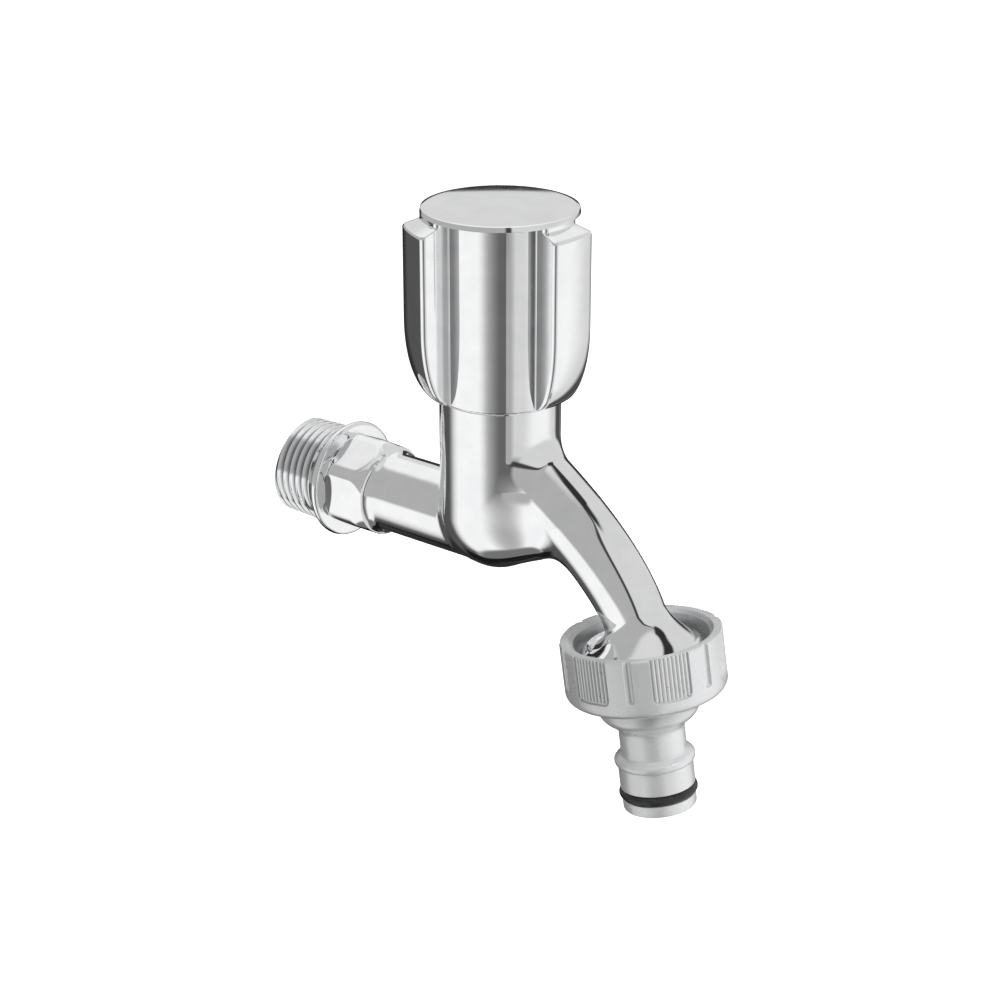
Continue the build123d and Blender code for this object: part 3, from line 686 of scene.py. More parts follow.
def makeCasting():
    mesh = remeshed(roughCasting(), casting.voxel)
    points = readAll(mesh.vertices, "co", 3) / mm
    edges = readAll(mesh.edges, "vertices", 2, int)
    links = np.bincount(edges.ravel(), minlength=len(points))[:, None]
    for sweep in range(8):
        # even the vertices out along the skin, then drop them back on it
        total = np.zeros_like(points)
        np.add.at(total, edges[:, 0], points[edges[:, 1]])
        np.add.at(total, edges[:, 1], points[edges[:, 0]])
        normal = slope(toCasting, points)
        pull = total / links - points
        points = points + 0.5 * (pull - (pull * normal).sum(1, keepdims=True) * normal)
        for drop in range(2):
            points = points - toCasting(points)[:, None] * normal
    for drop in range(3):
        points = points - toCasting(points)[:, None] * slope(toCasting, points)
    mesh.vertices.foreach_set("co", (points * mm).ravel())
    shape = bmesh.new()
    shape.from_mesh(mesh)
    geometry = shape.verts[:] + shape.edges[:] + shape.faces[:]
    cut = bmesh.ops.bisect_plane(shape, geom=geometry, plane_co=(0, casting.armEnd * mm, 0),
                                 plane_no=(0, 1, 0), clear_outer=True)
    # the rim is a true circle, so that the two pieces meet without a gap
    toCircle(ofKind(cut["geom_cut"], bmesh.types.BMVert), casting.armRadius)
    corners, rim = grownRim(shape, [edge for edge in shape.edges if edge.is_boundary])
    toCircle(corners, casting.waterway)
    corners, rim = grownRim(shape, rim)
    for corner in corners:
        corner.co.y = casting.waterwayEnd * mm
    bmesh.ops.contextual_create(shape, geom=rim)
    bmesh.ops.triangulate(shape, faces=[item for item in shape.faces if len(item.verts) > 4])
    shape.to_mesh(mesh)
    shape.free()
    return mesh


def softNormals(mesh, distance):
    # on the smooth skin the shading follows the shape itself and not its facets
    corners = readAll(mesh.loops, "vertex_index", 1, int)[:, 0]
    points = readAll(mesh.vertices, "co", 3) / mm
    onSkin = np.abs(distance(points)) < 0.05
    flat = readAll(mesh.corner_normals, "vector", 3)
    wanted = slope(distance, points)[corners]
    trusted = onSkin[corners] & ((wanted * flat).sum(1) > 0.8)
    mesh.normals_split_custom_set(np.where(trusted[:, None], wanted, flat).tolist())


castingPiece = finishPiece("tap_casting", makeCasting(), "tap", chromePlate, ["tap_body"], 40)
softNormals(castingPiece.data, toCasting)


# Inlet end: thread core, flange, spanner hexagon and neck

inlet = Sizes(
    columns=240,
    threadLength=12.6,
    endCrest=10.22,
    wallCrest=10.615,
    threadDepth=1.1616,
    endChamfer=0.4,
    flangeRadius=12.3,
    flangeThickness=1.7,
    flangeEdge=0.8,
    grooveRadius=9.9,        # the hexagon's corners rise from here behind the flange
    recessRadius=11.015,
    recessDepth=0.6,
    flats=19.0,
    cornerRadius=3.0,
    hexagonEnd=-11.7,
    hexagonTaper=3.0,
    cornerRise=1.47,
    taperSoftness=0.5,
    neckEnd=-14.2,
)


def hexagonReach(angle):
    # distance out to a hexagon with rounded corners
    flat = inlet.flats / 2
    rounding = inlet.cornerRadius
    turn = np.abs((angle + pi / 6) % (pi / 3) - pi / 6)
    middle = (flat - rounding) / cos(pi / 6)
    aside = pi / 6 - turn
    corner = middle * np.cos(aside) + np.sqrt(np.maximum(rounding ** 2 - (middle * np.sin(aside)) ** 2, 0))
    return np.where(turn < atan2((flat - rounding) * tan(pi / 6), flat), flat / np.cos(turn), corner)


def lesser(first, second, softness):
    # the smaller of two lengths, rounded over where they cross
    share = np.clip(0.5 + 0.5 * (second - first) / softness, 0, 1)
    return second + (first - second) * share - softness * share * (1 - share)


def makeInletEnd():
    angle = allRound(inlet.columns)
    coreEnd = inlet.endCrest - inlet.threadDepth
    coreWall = inlet.wallCrest - inlet.threadDepth
    outer = [
        (casting.waterway, casting.armEnd),
        (casting.waterway, inlet.threadLength, 0.3),
        (coreEnd - inlet.endChamfer, inlet.threadLength, 0.1),
        (coreEnd, inlet.threadLength - inlet.endChamfer),
        (coreWall, -inlet.recessDepth),
        (inlet.recessRadius, -inlet.recessDepth),
        (inlet.recessRadius, 0),
        (inlet.flangeRadius, 0, inlet.flangeEdge),
        (inlet.flangeRadius, -inlet.flangeThickness, inlet.flangeEdge),
        (inlet.grooveRadius + 0.3, -inlet.flangeThickness),
    ]
    outer = roundedOutline(outer, 6, 2.0, closed=False)
    rows = [aboutInlet(radius, angle, along) for radius, along in outer]
    hexagon = hexagonReach(angle)
    heights = np.concatenate([
        np.linspace(-inlet.flangeThickness - 0.1, -4.0, 14),
        np.linspace(-4.5, -8.0, 4), np.linspace(-8.2, inlet.hexagonEnd, 22)])
    for height in heights:
        cone = inlet.flats / 2 + (height - inlet.hexagonEnd) * inlet.cornerRise / inlet.hexagonTaper
        reach = lesser(hexagon, cone, inlet.taperSoftness)
        rise = inlet.grooveRadius + 0.9 * (-inlet.flangeThickness - height)
        rows.append(aboutInlet(lesser(reach, rise, inlet.taperSoftness), angle, height))
    last = lesser(hexagon, inlet.flats / 2, inlet.taperSoftness)
    neck = bezier((
        (1.0, inlet.hexagonEnd), (0.32, inlet.hexagonEnd - 0.35),
        (0.0, inlet.neckEnd + 1.1), (0.0, inlet.neckEnd)), np.linspace(0, 1, 16)[1:])
    for share, height in neck:
        rows.append(aboutInlet(casting.armRadius + (last - casting.armRadius) * share, angle, height))
    rows.append(aboutInlet(casting.armRadius, angle, -15.1))
    rows.append(aboutInlet(casting.armRadius, angle, casting.armEnd))
    return ringShape(rows, loop=True)


newPiece("inlet_end", *makeInletEnd(), "tap", chromePlate, (), 30)


# Geometry nodes

def newTree(name, floats, whole=()):
    tree = bpy.data.node_groups.new(name, "GeometryNodeTree")
    for label in floats + whole:
        kind = "NodeSocketInt" if label in whole else "NodeSocketFloat"
        tree.interface.new_socket(label, in_out="INPUT", socket_type=kind)
    tree.interface.new_socket("Geometry", in_out="OUTPUT", socket_type="NodeSocketGeometry")
    net = Net(tree)
    wires = {wire.socket.name: wire for wire in net.put("NodeGroupInput")}
    return net, wires


def closeTree(net, shape, material):
    shape = net.put("GeometryNodeRealizeInstances", {"Geometry": shape})[0]
    shape = net.put("GeometryNodeSetMaterial", {"Geometry": shape, "Material": material})[0]
    net.put("NodeGroupOutput", {"Geometry": shape})


def grown(name, net, values, place, body, material, sharp=32):
    # runs a tree on an empty mesh and keeps the result as a plain piece
    seed = placed("seed", bpy.data.meshes.new("seed"))
    grower = seed.modifiers.new("grow", "NODES")
    grower.node_group = net.tree
    for item in net.tree.interface.items_tree:
        if item.in_out == "INPUT" and item.name in values:
            grower[item.identifier] = values[item.name]
    mesh = baked(seed)
    mesh.transform(place)
    return finishPiece(name, mesh, body, material, (), sharp)


# places of the trees' +Z: along the inlet's axis, and down the outlet's axis, in metres from millimetres
inletPlace = Matrix.Rotation(-pi / 2, 4, "X") @ Matrix.Scale(mm, 4)
outletTurn = Matrix((outletAside, outletAcross, outletAxis)).transposed().to_4x4()
outletPlace = Matrix.Translation(outletFace * mm) @ outletTurn @ Matrix.Scale(mm, 4)


# a helical ridge about +Z: a small closed outline carried round, dying away at both ends
ridge = Sizes(
    around=72,
    corners=8,
    footShare=0.74,
    crestShare=0.16,
    runOut=0.18,
    buried=-0.3,
)


def ridgeTree(material):
    net, given = newTree("thread_ridge", (
        "Foot Radius", "Crest Radius", "Pitch", "Turns", "Start", "Taper", "Limit"))
    corners = ridge.corners
    length = (given["Turns"] * ridge.around).math("CEIL") + 1
    strip = net.put("GeometryNodeMeshGrid", {
        "Size X": 1.0, "Size Y": 1.0, "Vertices X": length, "Vertices Y": corners + 1})[0]
    index = net.put("GeometryNodeInputIndex")[0]
    turn = (index / (corners + 1)).math("FLOOR") / ridge.around
    phase = (index.math("MODULO", corners + 1) + 0.5) * (2 * pi / corners)
    share = ((phase.math("SINE") - 0.38) / 0.54).math("MAXIMUM", ridge.buried).math("MINIMUM", 1.0)
    side = phase.math("COSINE").math("SIGN")
    middle = given["Start"] + turn * given["Pitch"]
    cut = (given["Limit"] - middle) / (given["Pitch"] / 2) + ridge.footShare
    cut = cut / (ridge.footShare - ridge.crestShare)
    share = share.math("MINIMUM", cut.math("MAXIMUM", ridge.buried))
    ending = (turn / ridge.runOut).clamped() * ((given["Turns"] - turn) / ridge.runOut).clamped()
    halfWidth = (ridge.footShare + (ridge.crestShare - ridge.footShare) * share) * given["Pitch"] / 2
    height = (middle + side * halfWidth * ending).math("MINIMUM", given["Limit"])
    rise = given["Crest Radius"] - given["Foot Radius"]
    radius = given["Foot Radius"] + rise * share * ending - height * given["Taper"]
    angle = turn * (2 * pi)
    place = net.put("ShaderNodeCombineXYZ", {
        0: radius * angle.math("COSINE"), 1: radius * angle.math("SINE"), 2: height})[0]
    shape = net.put("GeometryNodeSetPosition", {"Geometry": strip, "Position": place})[0]
    shape = net.put("GeometryNodeMergeByDistance", {"Geometry": shape, "Distance": 0.001})[0]
    closeTree(net, shape, material)
    return net


threads = {
    "inlet_thread_ridge": {
        "values": {"Foot Radius": 9.40, "Crest Radius": 10.60, "Pitch": 1.814, "Turns": 6.65,
                   "Start": 1.1, "Taper": 0.03125, "Limit": 12.56},
        "place": inletPlace, "body": "tap", "finish": chromePlate,
    },
    "outlet_thread_ridge": {
        "values": {"Foot Radius": 11.96, "Crest Radius": 13.22, "Pitch": 1.814, "Turns": 1.245,
                   "Start": -3.093, "Taper": 0.0, "Limit": -0.02},
        "place": outletPlace, "body": "tap", "finish": chromePlate,
    },
    "nut_thread_ridge": {
        "values": {"Foot Radius": 13.60, "Crest Radius": 12.34, "Pitch": 1.814, "Turns": 1.245,
                   "Start": -2.186, "Taper": 0.0, "Limit": 3.0},
        "place": outletPlace, "body": "union_nut", "finish": greyNylon,
    },
}
for name, thread in threads.items():
    finish = thread["finish"]
    grown(name, ridgeTree(finish), thread["values"], thread["place"], thread["body"], finish)


# Handle: a round core with three lobes, hollow underneath

handle = Sizes(
    foot=28.6,
    core=12.6,
    footRadius=13.0,
    reach=18.8,
    flatness=0.27,           # how far the middle of a lobe's face is drawn in from the round
    halfAngle=18.4,
    lobeEdge=0.9,
    lobeRoot=0.25,
    curveTop=44.1,
    lobeTop=63.2,
    topEdge=0.7,
    neck=15.5,
    neckLow=64.4,
    neckTop=65.3,
    neckHollow=0.9,
    cavity=10.965,
    cavityTop=50.0,
)


def arc(middle, radius, angles):
    return [middle + radius * np.array([cos(angle), sin(angle)]) for angle in angles]


def spun(outline, turn):
    return outline @ np.array([[cos(turn), sin(turn)], [-sin(turn), cos(turn)]])


def handleOutline(reach, core):
    # one third's half outline, from the lobe's middle to the middle of the core between two lobes
    half = radians(handle.halfAngle)
    edge = min(handle.lobeEdge, 0.42 * (reach - core))
    root = min(handle.lobeRoot, 0.42 * (reach - core))
    out = []
    edgeTurn = asin(edge / (reach - edge))
    flat = handle.flatness * (reach - core) / (handle.reach - core)
    lean = 1 - 2 * flat / half ** 2 / reach
    for angle in np.linspace(0, half - edgeTurn, 10)[:-2]:
        away = reach - flat * (1 - (angle / (half - edgeTurn)) ** 2)
        out.append((away * cos(angle), away * sin(angle)))
    middle = (reach - edge) * np.array([cos(half - edgeTurn), sin(half - edgeTurn)])
    out += arc(middle, edge, np.linspace((half - edgeTurn) * lean, half + pi / 2, 9))
    rootTurn = asin(root / (core + root))
    middle = (core + root) * np.array([cos(half + rootTurn), sin(half + rootTurn)])
    start = sqrt((core + root) ** 2 - root ** 2) * np.array([cos(half), sin(half)])
    flankTop = np.array(out[-1])
    for share in (0.03, 0.5, 0.97):
        out.append(flankTop + (start - flankTop) * share)
    out += arc(middle, root, np.linspace(half - pi / 2, half + rootTurn - pi, 9))
    out += arc(0, core, np.linspace(half + rootTurn, pi / 3, 10)[1:])
    out = np.array(out)
    mirrored = out[::-1][1:-1] * [1, -1]
    whole = []
    for lobe in range(3):
        turn = -pi / 2 + lobe * 2 * pi / 3
        whole.append(spun(out, turn))
        whole.append(spun(mirrored, turn + 2 * pi / 3))
    return np.vstack(whole)


def makeHandle():
    rows = []
    rim = handleOutline(handle.footRadius, handle.core)
    angle = np.arctan2(rim[:, 1], rim[:, 0])
    circle = np.stack([np.cos(angle), np.sin(angle)], axis=1)

    def add(outline, height):
        rows.append(barrelPoints(outline[:, 0], outline[:, 1], height))

    wall, low, high = handle.cavity, handle.foot, handle.cavityTop
    for radius, height in ((0.5, high), (wall - 0.3, high), (wall, high - 0.3), (wall, low + 0.5),
                           (wall, low + 0.1), (wall + 0.1, low), (handle.core - 0.2, low)):
        add(circle * radius, height)
    flare = handle.reach - handle.footRadius
    rise = handle.curveTop - handle.foot
    for turn in np.linspace(0, pi / 2, 34):
        reach = handle.footRadius + flare * sin(turn)
        add(handleOutline(reach, handle.core), handle.foot + rise * (1 - cos(turn)))
    top = [(handle.reach, handle.curveTop), (handle.reach, handle.lobeTop, handle.topEdge),
           (handle.neck, handle.neckLow, 0.25), (handle.neck, handle.neckTop)]
    hollow = handle.neckHollow
    for reach, height in roundedOutline(top, 6, 0.3, closed=False)[1:]:
        if height > handle.lobeTop - 2 or height % 1.2 < 0.3:
            inset = max(height - (handle.neckTop - hollow), 0)
            core = handle.core + hollow - sqrt(max(hollow ** 2 - inset ** 2, 0))
            add(handleOutline(reach, core), height)
    add(circle * (handle.core - 0.6), handle.neckTop)
    add(circle * 0.5, handle.neckTop)
    return ringShape(rows)


newPiece("handle_shell", *makeHandle(), "handle", chromePlate, ["handle"], 30)


# Index cap: a bare disc, slightly domed, pressed into the handle

disc = Sizes(
    low=65.3,
    radius=15.5,
    taper=0.12,
    bevel=0.16,
    domeEdge=66.31,
    top=66.65,
    plugInner=6.3,
    plugOuter=7.5,
    plugLow=60.3,
)


def makeCap():
    rim = disc.radius - disc.taper
    domeRadius = rim - disc.bevel
    dome = [(radius, disc.top - (disc.top - disc.domeEdge) * (radius / domeRadius) ** 2)
            for radius in np.linspace(0.3, domeRadius, 22)]
    side = [
        (rim - 0.05, disc.domeEdge - 0.05), (rim, disc.domeEdge - 0.17),
        (disc.radius, disc.low + 0.04), (disc.radius - 0.04, disc.low),
        (disc.plugOuter + 0.2, disc.low),
        (disc.plugOuter, disc.low - 0.2), (disc.plugOuter, disc.plugLow + 0.2),
        (disc.plugOuter - 0.2, disc.plugLow), (disc.plugInner, disc.plugLow),
        (disc.plugInner, disc.low - 0.3), (0.3, disc.low - 0.3)]
    return ringShape(turnedRings(dome + side, 144, aboutBarrel))


newPiece("cap_disc", *makeCap(), "handle", capPlate, ["index_cap"], 30)


# Union nut: a ribbed plastic ring about the outlet's axis

nut = Sizes(
    radius=16.09,
    top=-6.8,
    bottom=5.3,
    topEdge=0.3,
    bottomEdge=1.8,
    floor=3.1,
    threadRoot=13.5,
    mouth=0.8,
    hubHole=10.3,
    patches=6,
    firstPatch=3.8,
    patchAngle=28.5,
    patchDepth=0.5,
    patchEnd=2.3,
    patchCorner=1.2,
    ribs=9,
    ribSpan=27.0,
    ribRadius=0.36,
    grooveRadius=0.8,
    grooveDepth=0.7,
    grooveEnd=1.8,
    endSpan=(0.7, 2.7),
)


def nutSink(angle, along):
    # how deep the wall is sunk, by the angle from a patch's middle in degrees and the height
    aside = (nut.patchAngle / 2 - np.abs(angle)) * radians(1) * nut.radius
    corner = nut.patchCorner
    lift = corner - np.sqrt(np.maximum(corner ** 2 - np.maximum(corner - aside, 0) ** 2, 0))
    inPatch = soft(aside, -0.06, 0.06) * soft(nut.patchEnd - lift - along, -0.08, 0.08)
    across = (180 / nut.patches - np.abs(angle)) * radians(1) * nut.radius
    runOut = np.clip((along - nut.grooveEnd + 0.4) / 0.4, 0, 1)
    middle = nut.grooveRadius - nut.grooveDepth
    groove = np.sqrt(np.maximum(nut.grooveRadius ** 2 - across ** 2, 0)) - middle
    groove = np.maximum(groove - nut.grooveDepth * (1 - np.sqrt(np.maximum(1 - runOut ** 2, 0))), 0)
    return np.maximum(nut.patchDepth * inPatch, groove)


def makeNut():
    edge = nut.patchAngle / 2
    half = np.concatenate([
        np.linspace(0, edge - 3.2, 5),
        edge - np.array([2.4, 1.7, 1.1, 0.6, 0.3, 0.15, 0, -0.15, -0.3, -0.8]),
        np.linspace(edge + 2.5, 26.0, 4), np.linspace(26.7, 30, 14)])
    sector = np.concatenate([-half[::-1][1:-1], half])
    angle = np.concatenate([sector + 60 * patch for patch in range(nut.patches)])
    beside = np.concatenate([sector] * nut.patches)
    turn = np.radians(angle + nut.firstPatch)
    outline = roundedOutline([
        (nut.threadRoot + nut.mouth, nut.top, 0.15),
        (nut.radius, nut.top, nut.topEdge),
        (nut.radius, nut.bottom, nut.bottomEdge),
        (nut.hubHole, nut.bottom, 0.2),
        (nut.hubHole, nut.floor),
        (nut.threadRoot, nut.floor),
        (nut.threadRoot, nut.top + nut.mouth)], 8, 2.5)
    wall = []
    for index, (radius, along) in enumerate(outline):
        onward = outline[(index + 1) % len(outline)]
        wall.append((radius, along))
        outside = max(abs(radius - nut.radius), abs(onward[0] - nut.radius)) < 1e-6
        if outside and along < 3 and abs(onward[1] - along) > 1:
            wall += [(radius, height) for height in np.arange(along + 0.5, onward[1], 0.5)]
    # finer rows where the patches and grooves end
    low, high = nut.endSpan
    fine = [row for row in wall if not (row[0] == nut.radius and low < row[1] < high)]
    place = next(index for index, row in enumerate(fine) if row[0] == nut.radius and row[1] >= high)
    fine[place:place] = [(nut.radius, height) for height in np.arange(low, high - 0.05, 0.08)]
    rows = []
    for radius, along in fine:
        wallRadius = radius
        if radius > nut.radius - 0.9:
            wallRadius = np.minimum(radius, nut.radius - nutSink(beside, along))
        rows.append(outletPoints(wallRadius, turn, along))
    return ringShape(rows, loop=True)


newPiece("union_nut_shell", *makeNut(), "union_nut", greyNylon, ["union_nut"], 35)


# half-round ribs standing on the floor of each sunk patch
def ribTree(material):
    net, given = newTree("nut_ribs", (
        "Span", "First Angle", "Floor Radius", "Rib Radius", "Low", "High", "Round"), ("Patches", "Ribs"))
    low = net.put("ShaderNodeCombineXYZ", {2: given["Low"]})[0]
    high = net.put("ShaderNodeCombineXYZ", {2: given["High"]})[0]
    line = net.put("GeometryNodeCurvePrimitiveLine", {"Start": low, "End": high})[0]
    line = net.named("GeometryNodeResampleCurve", "Curve", {"Curve": line, "Count": 36})
    height = net.put("ShaderNodeSeparateXYZ", {0: net.put("GeometryNodeInputPosition")[0]})[2]
    fromEnd = (1 - (height - given["Low"]) / given["Round"]).clamped()
    swell = (1 - fromEnd * fromEnd).math("MAXIMUM", 0.01).math("SQRT")
    line = net.put("GeometryNodeSetCurveRadius", {"Curve": line, "Radius": swell})[0]
    section = net.put("GeometryNodeCurvePrimitiveCircle", {
        "Resolution": 14, "Radius": given["Rib Radius"]})[0]
    bar = net.put("GeometryNodeCurveToMesh", {
        "Curve": line, "Profile Curve": section, "Fill Caps": True})[0]
    index = net.put("GeometryNodeInputIndex")[0]
    patch = (index / given["Ribs"]).math("FLOOR")
    rib = index - patch * given["Ribs"]
    share = (rib + 0.5) / given["Ribs"] - 0.5
    angle = (given["First Angle"] + patch * 360 / given["Patches"] + share * given["Span"]) * (pi / 180)
    place = net.put("ShaderNodeCombineXYZ", {
        0: angle.math("COSINE") * given["Floor Radius"], 1: angle.math("SINE") * given["Floor Radius"]})[0]
    points = net.put("GeometryNodePoints", {
        "Count": given["Patches"] * given["Ribs"], "Position": place, "Radius": 1.0})[0]
    turn = net.put("ShaderNodeCombineXYZ", {2: angle})[0]
    shape = net.put("GeometryNodeInstanceOnPoints", {
        "Points": points, "Instance": bar, "Rotation": turn})[0]
    closeTree(net, shape, material)
    return net


grown("union_nut_ribs", ribTree(greyNylon), {
    "Patches": nut.patches, "Ribs": nut.ribs, "Span": nut.ribSpan,
    "First Angle": nut.firstPatch, "Floor Radius": nut.radius - nut.patchDepth - 0.02,
    "Rib Radius": nut.ribRadius, "Low": nut.top + 0.05, "High": nut.patchEnd - 0.45, "Round": 0.6,
}, outletPlace, "union_nut", greyNylon)


# Hose tail and its ring

tail = Sizes(
    flangeTop=1.6,
    flangeBottom=3.1,
    flangeRadius=11.84,
    hub=10.0,
    hubEnd=8.8,
    neck=6.6,
    neckStart=13.1,
    collarMiddle=19.1,
    collarWidth=2.2,
    collarRadius=8.1,
    body=7.5,
    grooveLow=25.0,
    grooveHigh=27.2,
    grooveRadius=5.82,
    endRadius=7.35,
    end=29.6,
    bore=4.5,
    ringCord=2.0,
    ringReach=7.87,
    ringMiddle=26.1,
)


def makeTail():
    flare = bezier(((tail.hub, tail.hubEnd), (tail.hub - 0.6, tail.hubEnd + 2.2),
                    (tail.neck, tail.neckStart - 1.8), (tail.neck, tail.neckStart)),
                   np.linspace(0, 1, 17))
    half = tail.collarWidth / 2
    bulge = [(tail.neck, tail.collarMiddle - half, 0.25)]
    for share in np.linspace(-0.8, 0.8, 9):
        swell = sqrt(1 - share ** 2)
        base = tail.neck if share < 0 else tail.body
        bulge.append((base + (tail.collarRadius - base) * swell, tail.collarMiddle + share * half))
    bulge.append((tail.body, tail.collarMiddle + half, 0.25))
    corners = [
        (tail.bore, tail.flangeTop, 0.1), (tail.flangeRadius, tail.flangeTop, 0.1),
        (tail.flangeRadius, tail.flangeBottom, 0.1), (tail.hub, tail.flangeBottom, 0.1),
        *[tuple(point) for point in flare], *bulge,
        (tail.body, tail.grooveLow, 0.15), (tail.grooveRadius, tail.grooveLow, 0.15),
        (tail.grooveRadius, tail.grooveHigh, 0.15), (tail.endRadius, tail.grooveHigh, 0.15),
        (tail.endRadius, tail.end, 0.5), (tail.bore, tail.end, 0.3)]
    return ringShape(turnedRings(roundedOutline(corners, 5, 1.5), 112, outletPoints), loop=True)


newPiece("hose_tail_shell", *makeTail(), "hose_tail", greyNylon, ["hose_tail"], 35)


def makeRing():
    thick = tail.ringCord / 2
    middle = tail.ringReach - thick
    outline = [(middle + thick * cos(turn), tail.ringMiddle + thick * sin(turn)) for turn in allRound(28)]
    return ringShape(turnedRings(outline, 112, outletPoints), loop=True)


newPiece("hose_tail_ring", *makeRing(), "hose_tail", blackRubber, ["hose_tail_o_ring"])


# Camera

view = Sizes(
    azimuth=-50.941,
    elevation=22.452,
    distance=0.47219,
    target=(-0.0000214, -0.0411736, 0.005459),
    lens=84.6,
)


def towards(azimuth, elevation):
    # direction from the object to a place at an azimuth and an elevation, in degrees
    azimuth = radians(azimuth)
    elevation = radians(elevation)
    return Vector((sin(azimuth) * cos(elevation), -cos(azimuth) * cos(elevation), sin(elevation)))


cameraData = bpy.data.cameras.new("camera")
cameraData.lens = view.lens
cameraData.sensor_width = 36
cameraData.clip_start = 0.01
camera = placed("camera", cameraData)
ahead = towards(view.azimuth, view.elevation)
camera.location = Vector(view.target) + ahead * view.distance
camera.rotation_euler = ahead.to_track_quat("Z", "Y").to_euler()
bpy.context.scene.camera = camera


# Floor, world and lamps

studio = Sizes(
    floorHeight=-0.32,
    floorSize=6.0,
    floorShade=(0.80, 0.80, 0.80),
    floorGlow=0.80,
    ambient=0.34,
)


def paintFloor(net):
    mottle = noise(net, 3, 2)
    color = between(net, mottle, [shade * 0.98 for shade in studio.floorShade], studio.floorShade)
    seen = net.named("ShaderNodeLightPath", "Is Camera Ray")
    glow = net.put("ShaderNodeEmission", {"Color": (1, 1, 1, 1), "Strength": seen * studio.floorGlow})[0]
    matte = net.put("ShaderNodeBsdfDiffuse", {"Color": color, "Roughness": 0.5})[0]
    return net.put("ShaderNodeAddShader", {0: matte, 1: glow})[0]


floorMesh = bpy.data.meshes.new("floor")
floorMesh.from_pydata([(x * studio.floorSize, y * studio.floorSize, studio.floorHeight)
                       for x, y in ((-1, -1), (1, -1), (1, 1), (-1, 1))], [], [(0, 1, 2, 3)])
floorMesh.materials.append(newMaterial("pale_floor", paintFloor))
floor = placed("floor", floorMesh)
floor.visible_glossy = False           # metal mirrors the studio of the world instead


# What polished metal mirrors: a white tent with soft cards hung in it. Angles are in degrees: turn is
# counted from the camera's side to the right, and rise from the horizon upwards.
tent = Sizes(
    turn=-50.941,
    shade=0.70,
    seamLean=60,          # how far a bent card's side leans over to the right overhead
    seamSpan=(20, 62),    # the rises between which it leans
)


def card(turn, turnSoft, rise, riseSoft, shade, bent=(0, 0)):
    # both spans, how softly each of their ends fades, the shade as the eye reads it, and which sides lean
    return Sizes(turn=turn, turnSoft=turnSoft, rise=rise, riseSoft=riseSoft, shade=shade, bent=bent)


cards = {
    "overhead": card((-180, 180), (1, 1), (70, 91), (10, 1), 0.86),
    "high left": card((-188, -138), (14, 24), (28, 66), (10, 8), 0.96),
    "high back": card((145, 215), (20, 20), (22, 62), (10, 14), 0.97),
    "low back": card((150, 212), (15, 15), (11.4, 24), (0.5, 10), 0.86),
    "right wall": card((12, 150), (1, 14), (-64, 62), (6, 6), 0.85, bent=(1, 0)),
    "left light": card((-84, -42), (26, 24), (-64, -10), (10, 8), 0.99),
    "right light": card((70, 96), (30, 24), (-40, -14), (14, 18), 0.98),
    "right lamp": card((150, 172), (8, 10), (-30, 4), (6, 6), 0.92),
    "front shade": card((-8, 11), (24, 2), (-91, -13), (1, 6), 0.62),
    "front core": card((2, 10), (26, 2), (-91, -13), (1, 6), 0.40),
    "front veil": card((11, 17), (1, 12), (-70, -8), (10, 8), 0.68),
    "seam": card((9.5, 14), (4, 4), (-12, 64), (6, 2), 0.26, bent=(1, 1)),
    "high flag": card((64, 96), (14, 8), (57, 66), (4, 4), 0.20),
    "left flag": card((-150, -116), (8, 18), (-62, -15), (6, 5), 0.33),
    "right flag": card((134, 152), (12, 5), (-52, -12), (10, 8), 0.30),
    "back shade": card((155, 205), (10, 10), (-12, 11.3), (8, 0.4), 0.22),
    "behind": card((160, 205), (10, 12), (-60, -10), (12, 4), 0.18),
    "table": card((84, 224), (20, 14), (-91, -68), (1, 9), 0.12),
    "table corner": card((-168, -132), (12, 12), (-91, -54), (1, 8), 0.10),
    "table front": card((-130, 78), (10, 16), (-91, -72), (1, 9), 0.46),
}


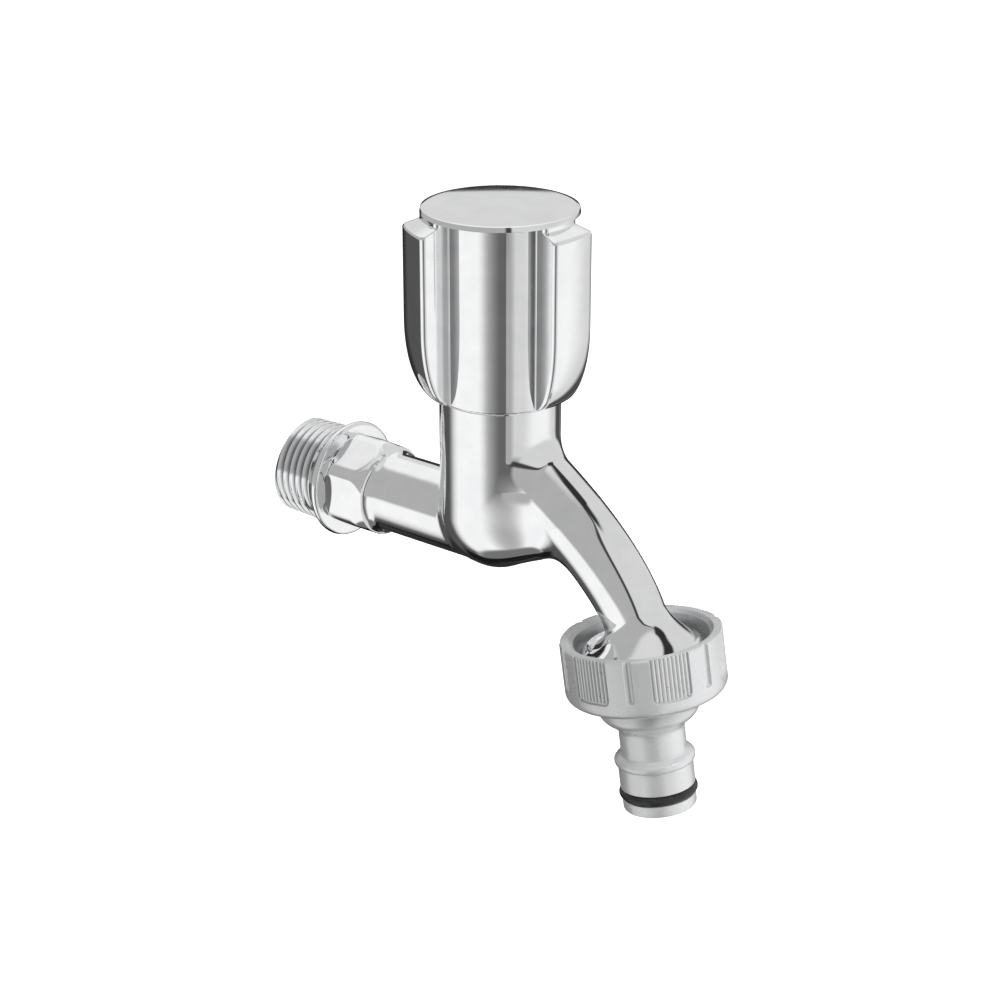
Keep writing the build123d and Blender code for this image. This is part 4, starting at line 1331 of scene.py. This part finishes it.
def paintWorld():
    world = bpy.data.worlds.new("studio")
    bpy.context.scene.world = world
    world.use_nodes = True
    world.node_tree.nodes.clear()
    net = Net(world.node_tree)
    ray = net.named("ShaderNodeTexCoord", "Generated")
    turned = net.named("ShaderNodeMapping", "Vector", {
        "Vector": ray, "Rotation": (0, 0, -radians(tent.turn))})
    x, y, z = net.put("ShaderNodeSeparateXYZ", {0: turned})
    turn = x.math("ARCTAN2", y * -1) * (180 / pi)
    rise = z.math("ARCSINE") * (180 / pi)
    low, high = tent.seamSpan
    lean = tent.seamLean * ((rise - low) / (high - low)).clamped() ** 5
    shade = None
    for hung in cards.values():
        middle = (hung.turn[0] + hung.turn[1]) / 2
        half = (hung.turn[1] - hung.turn[0]) / 2
        aside = (turn - (middle + 180)).math("FLOORED_MODULO", 360.0) - 180
        left, right = [aside - lean * bent for bent in hung.bent]
        mask = (left + half).between(-hung.turnSoft[0], 0) * (half - right).between(-hung.turnSoft[1], 0)
        mask = mask * (rise - hung.rise[0]).between(-hung.riseSoft[0], 0)
        mask = mask * (hung.rise[1] - rise).between(-hung.riseSoft[1], 0)
        light = linear(hung.shade)
        before = linear(tent.shade) if shade is None else shade
        shade = before + mask * (light - before)
    ambient = studio.ambient
    camera, glossy, through = [net.named("ShaderNodeLightPath", name)
                               for name in ("Is Camera Ray", "Is Glossy Ray", "Is Transmission Ray")]
    mirrored = glossy.math("MAXIMUM", through)
    strength = ambient + mirrored * (shade - ambient)
    strength = strength + camera * (1.0 - strength)
    glow = net.put("ShaderNodeBackground", {"Color": (1, 1, 1, 1), "Strength": strength})[0]
    net.put("ShaderNodeOutputWorld", {"Surface": glow})


paintWorld()

lamps = [
    {"name": "key", "azimuth": 8, "elevation": 38, "distance": 1.4, "size": 0.6, "power": 24},
    {"name": "fill", "azimuth": -125, "elevation": 30, "distance": 1.6, "size": 1.0, "power": 8},
]
for lamp in lamps:
    data = bpy.data.lights.new(lamp["name"], "AREA")
    data.size = lamp["size"]
    data.energy = lamp["power"]
    light = placed(lamp["name"], data)
    ahead = towards(lamp["azimuth"], lamp["elevation"])
    light.location = Vector(view.target) + ahead * lamp["distance"]
    light.rotation_euler = ahead.to_track_quat("Z", "Y").to_euler()
    light.visible_glossy = False

bpy.context.scene.view_settings.view_transform = "Standard"
print("studio ready")
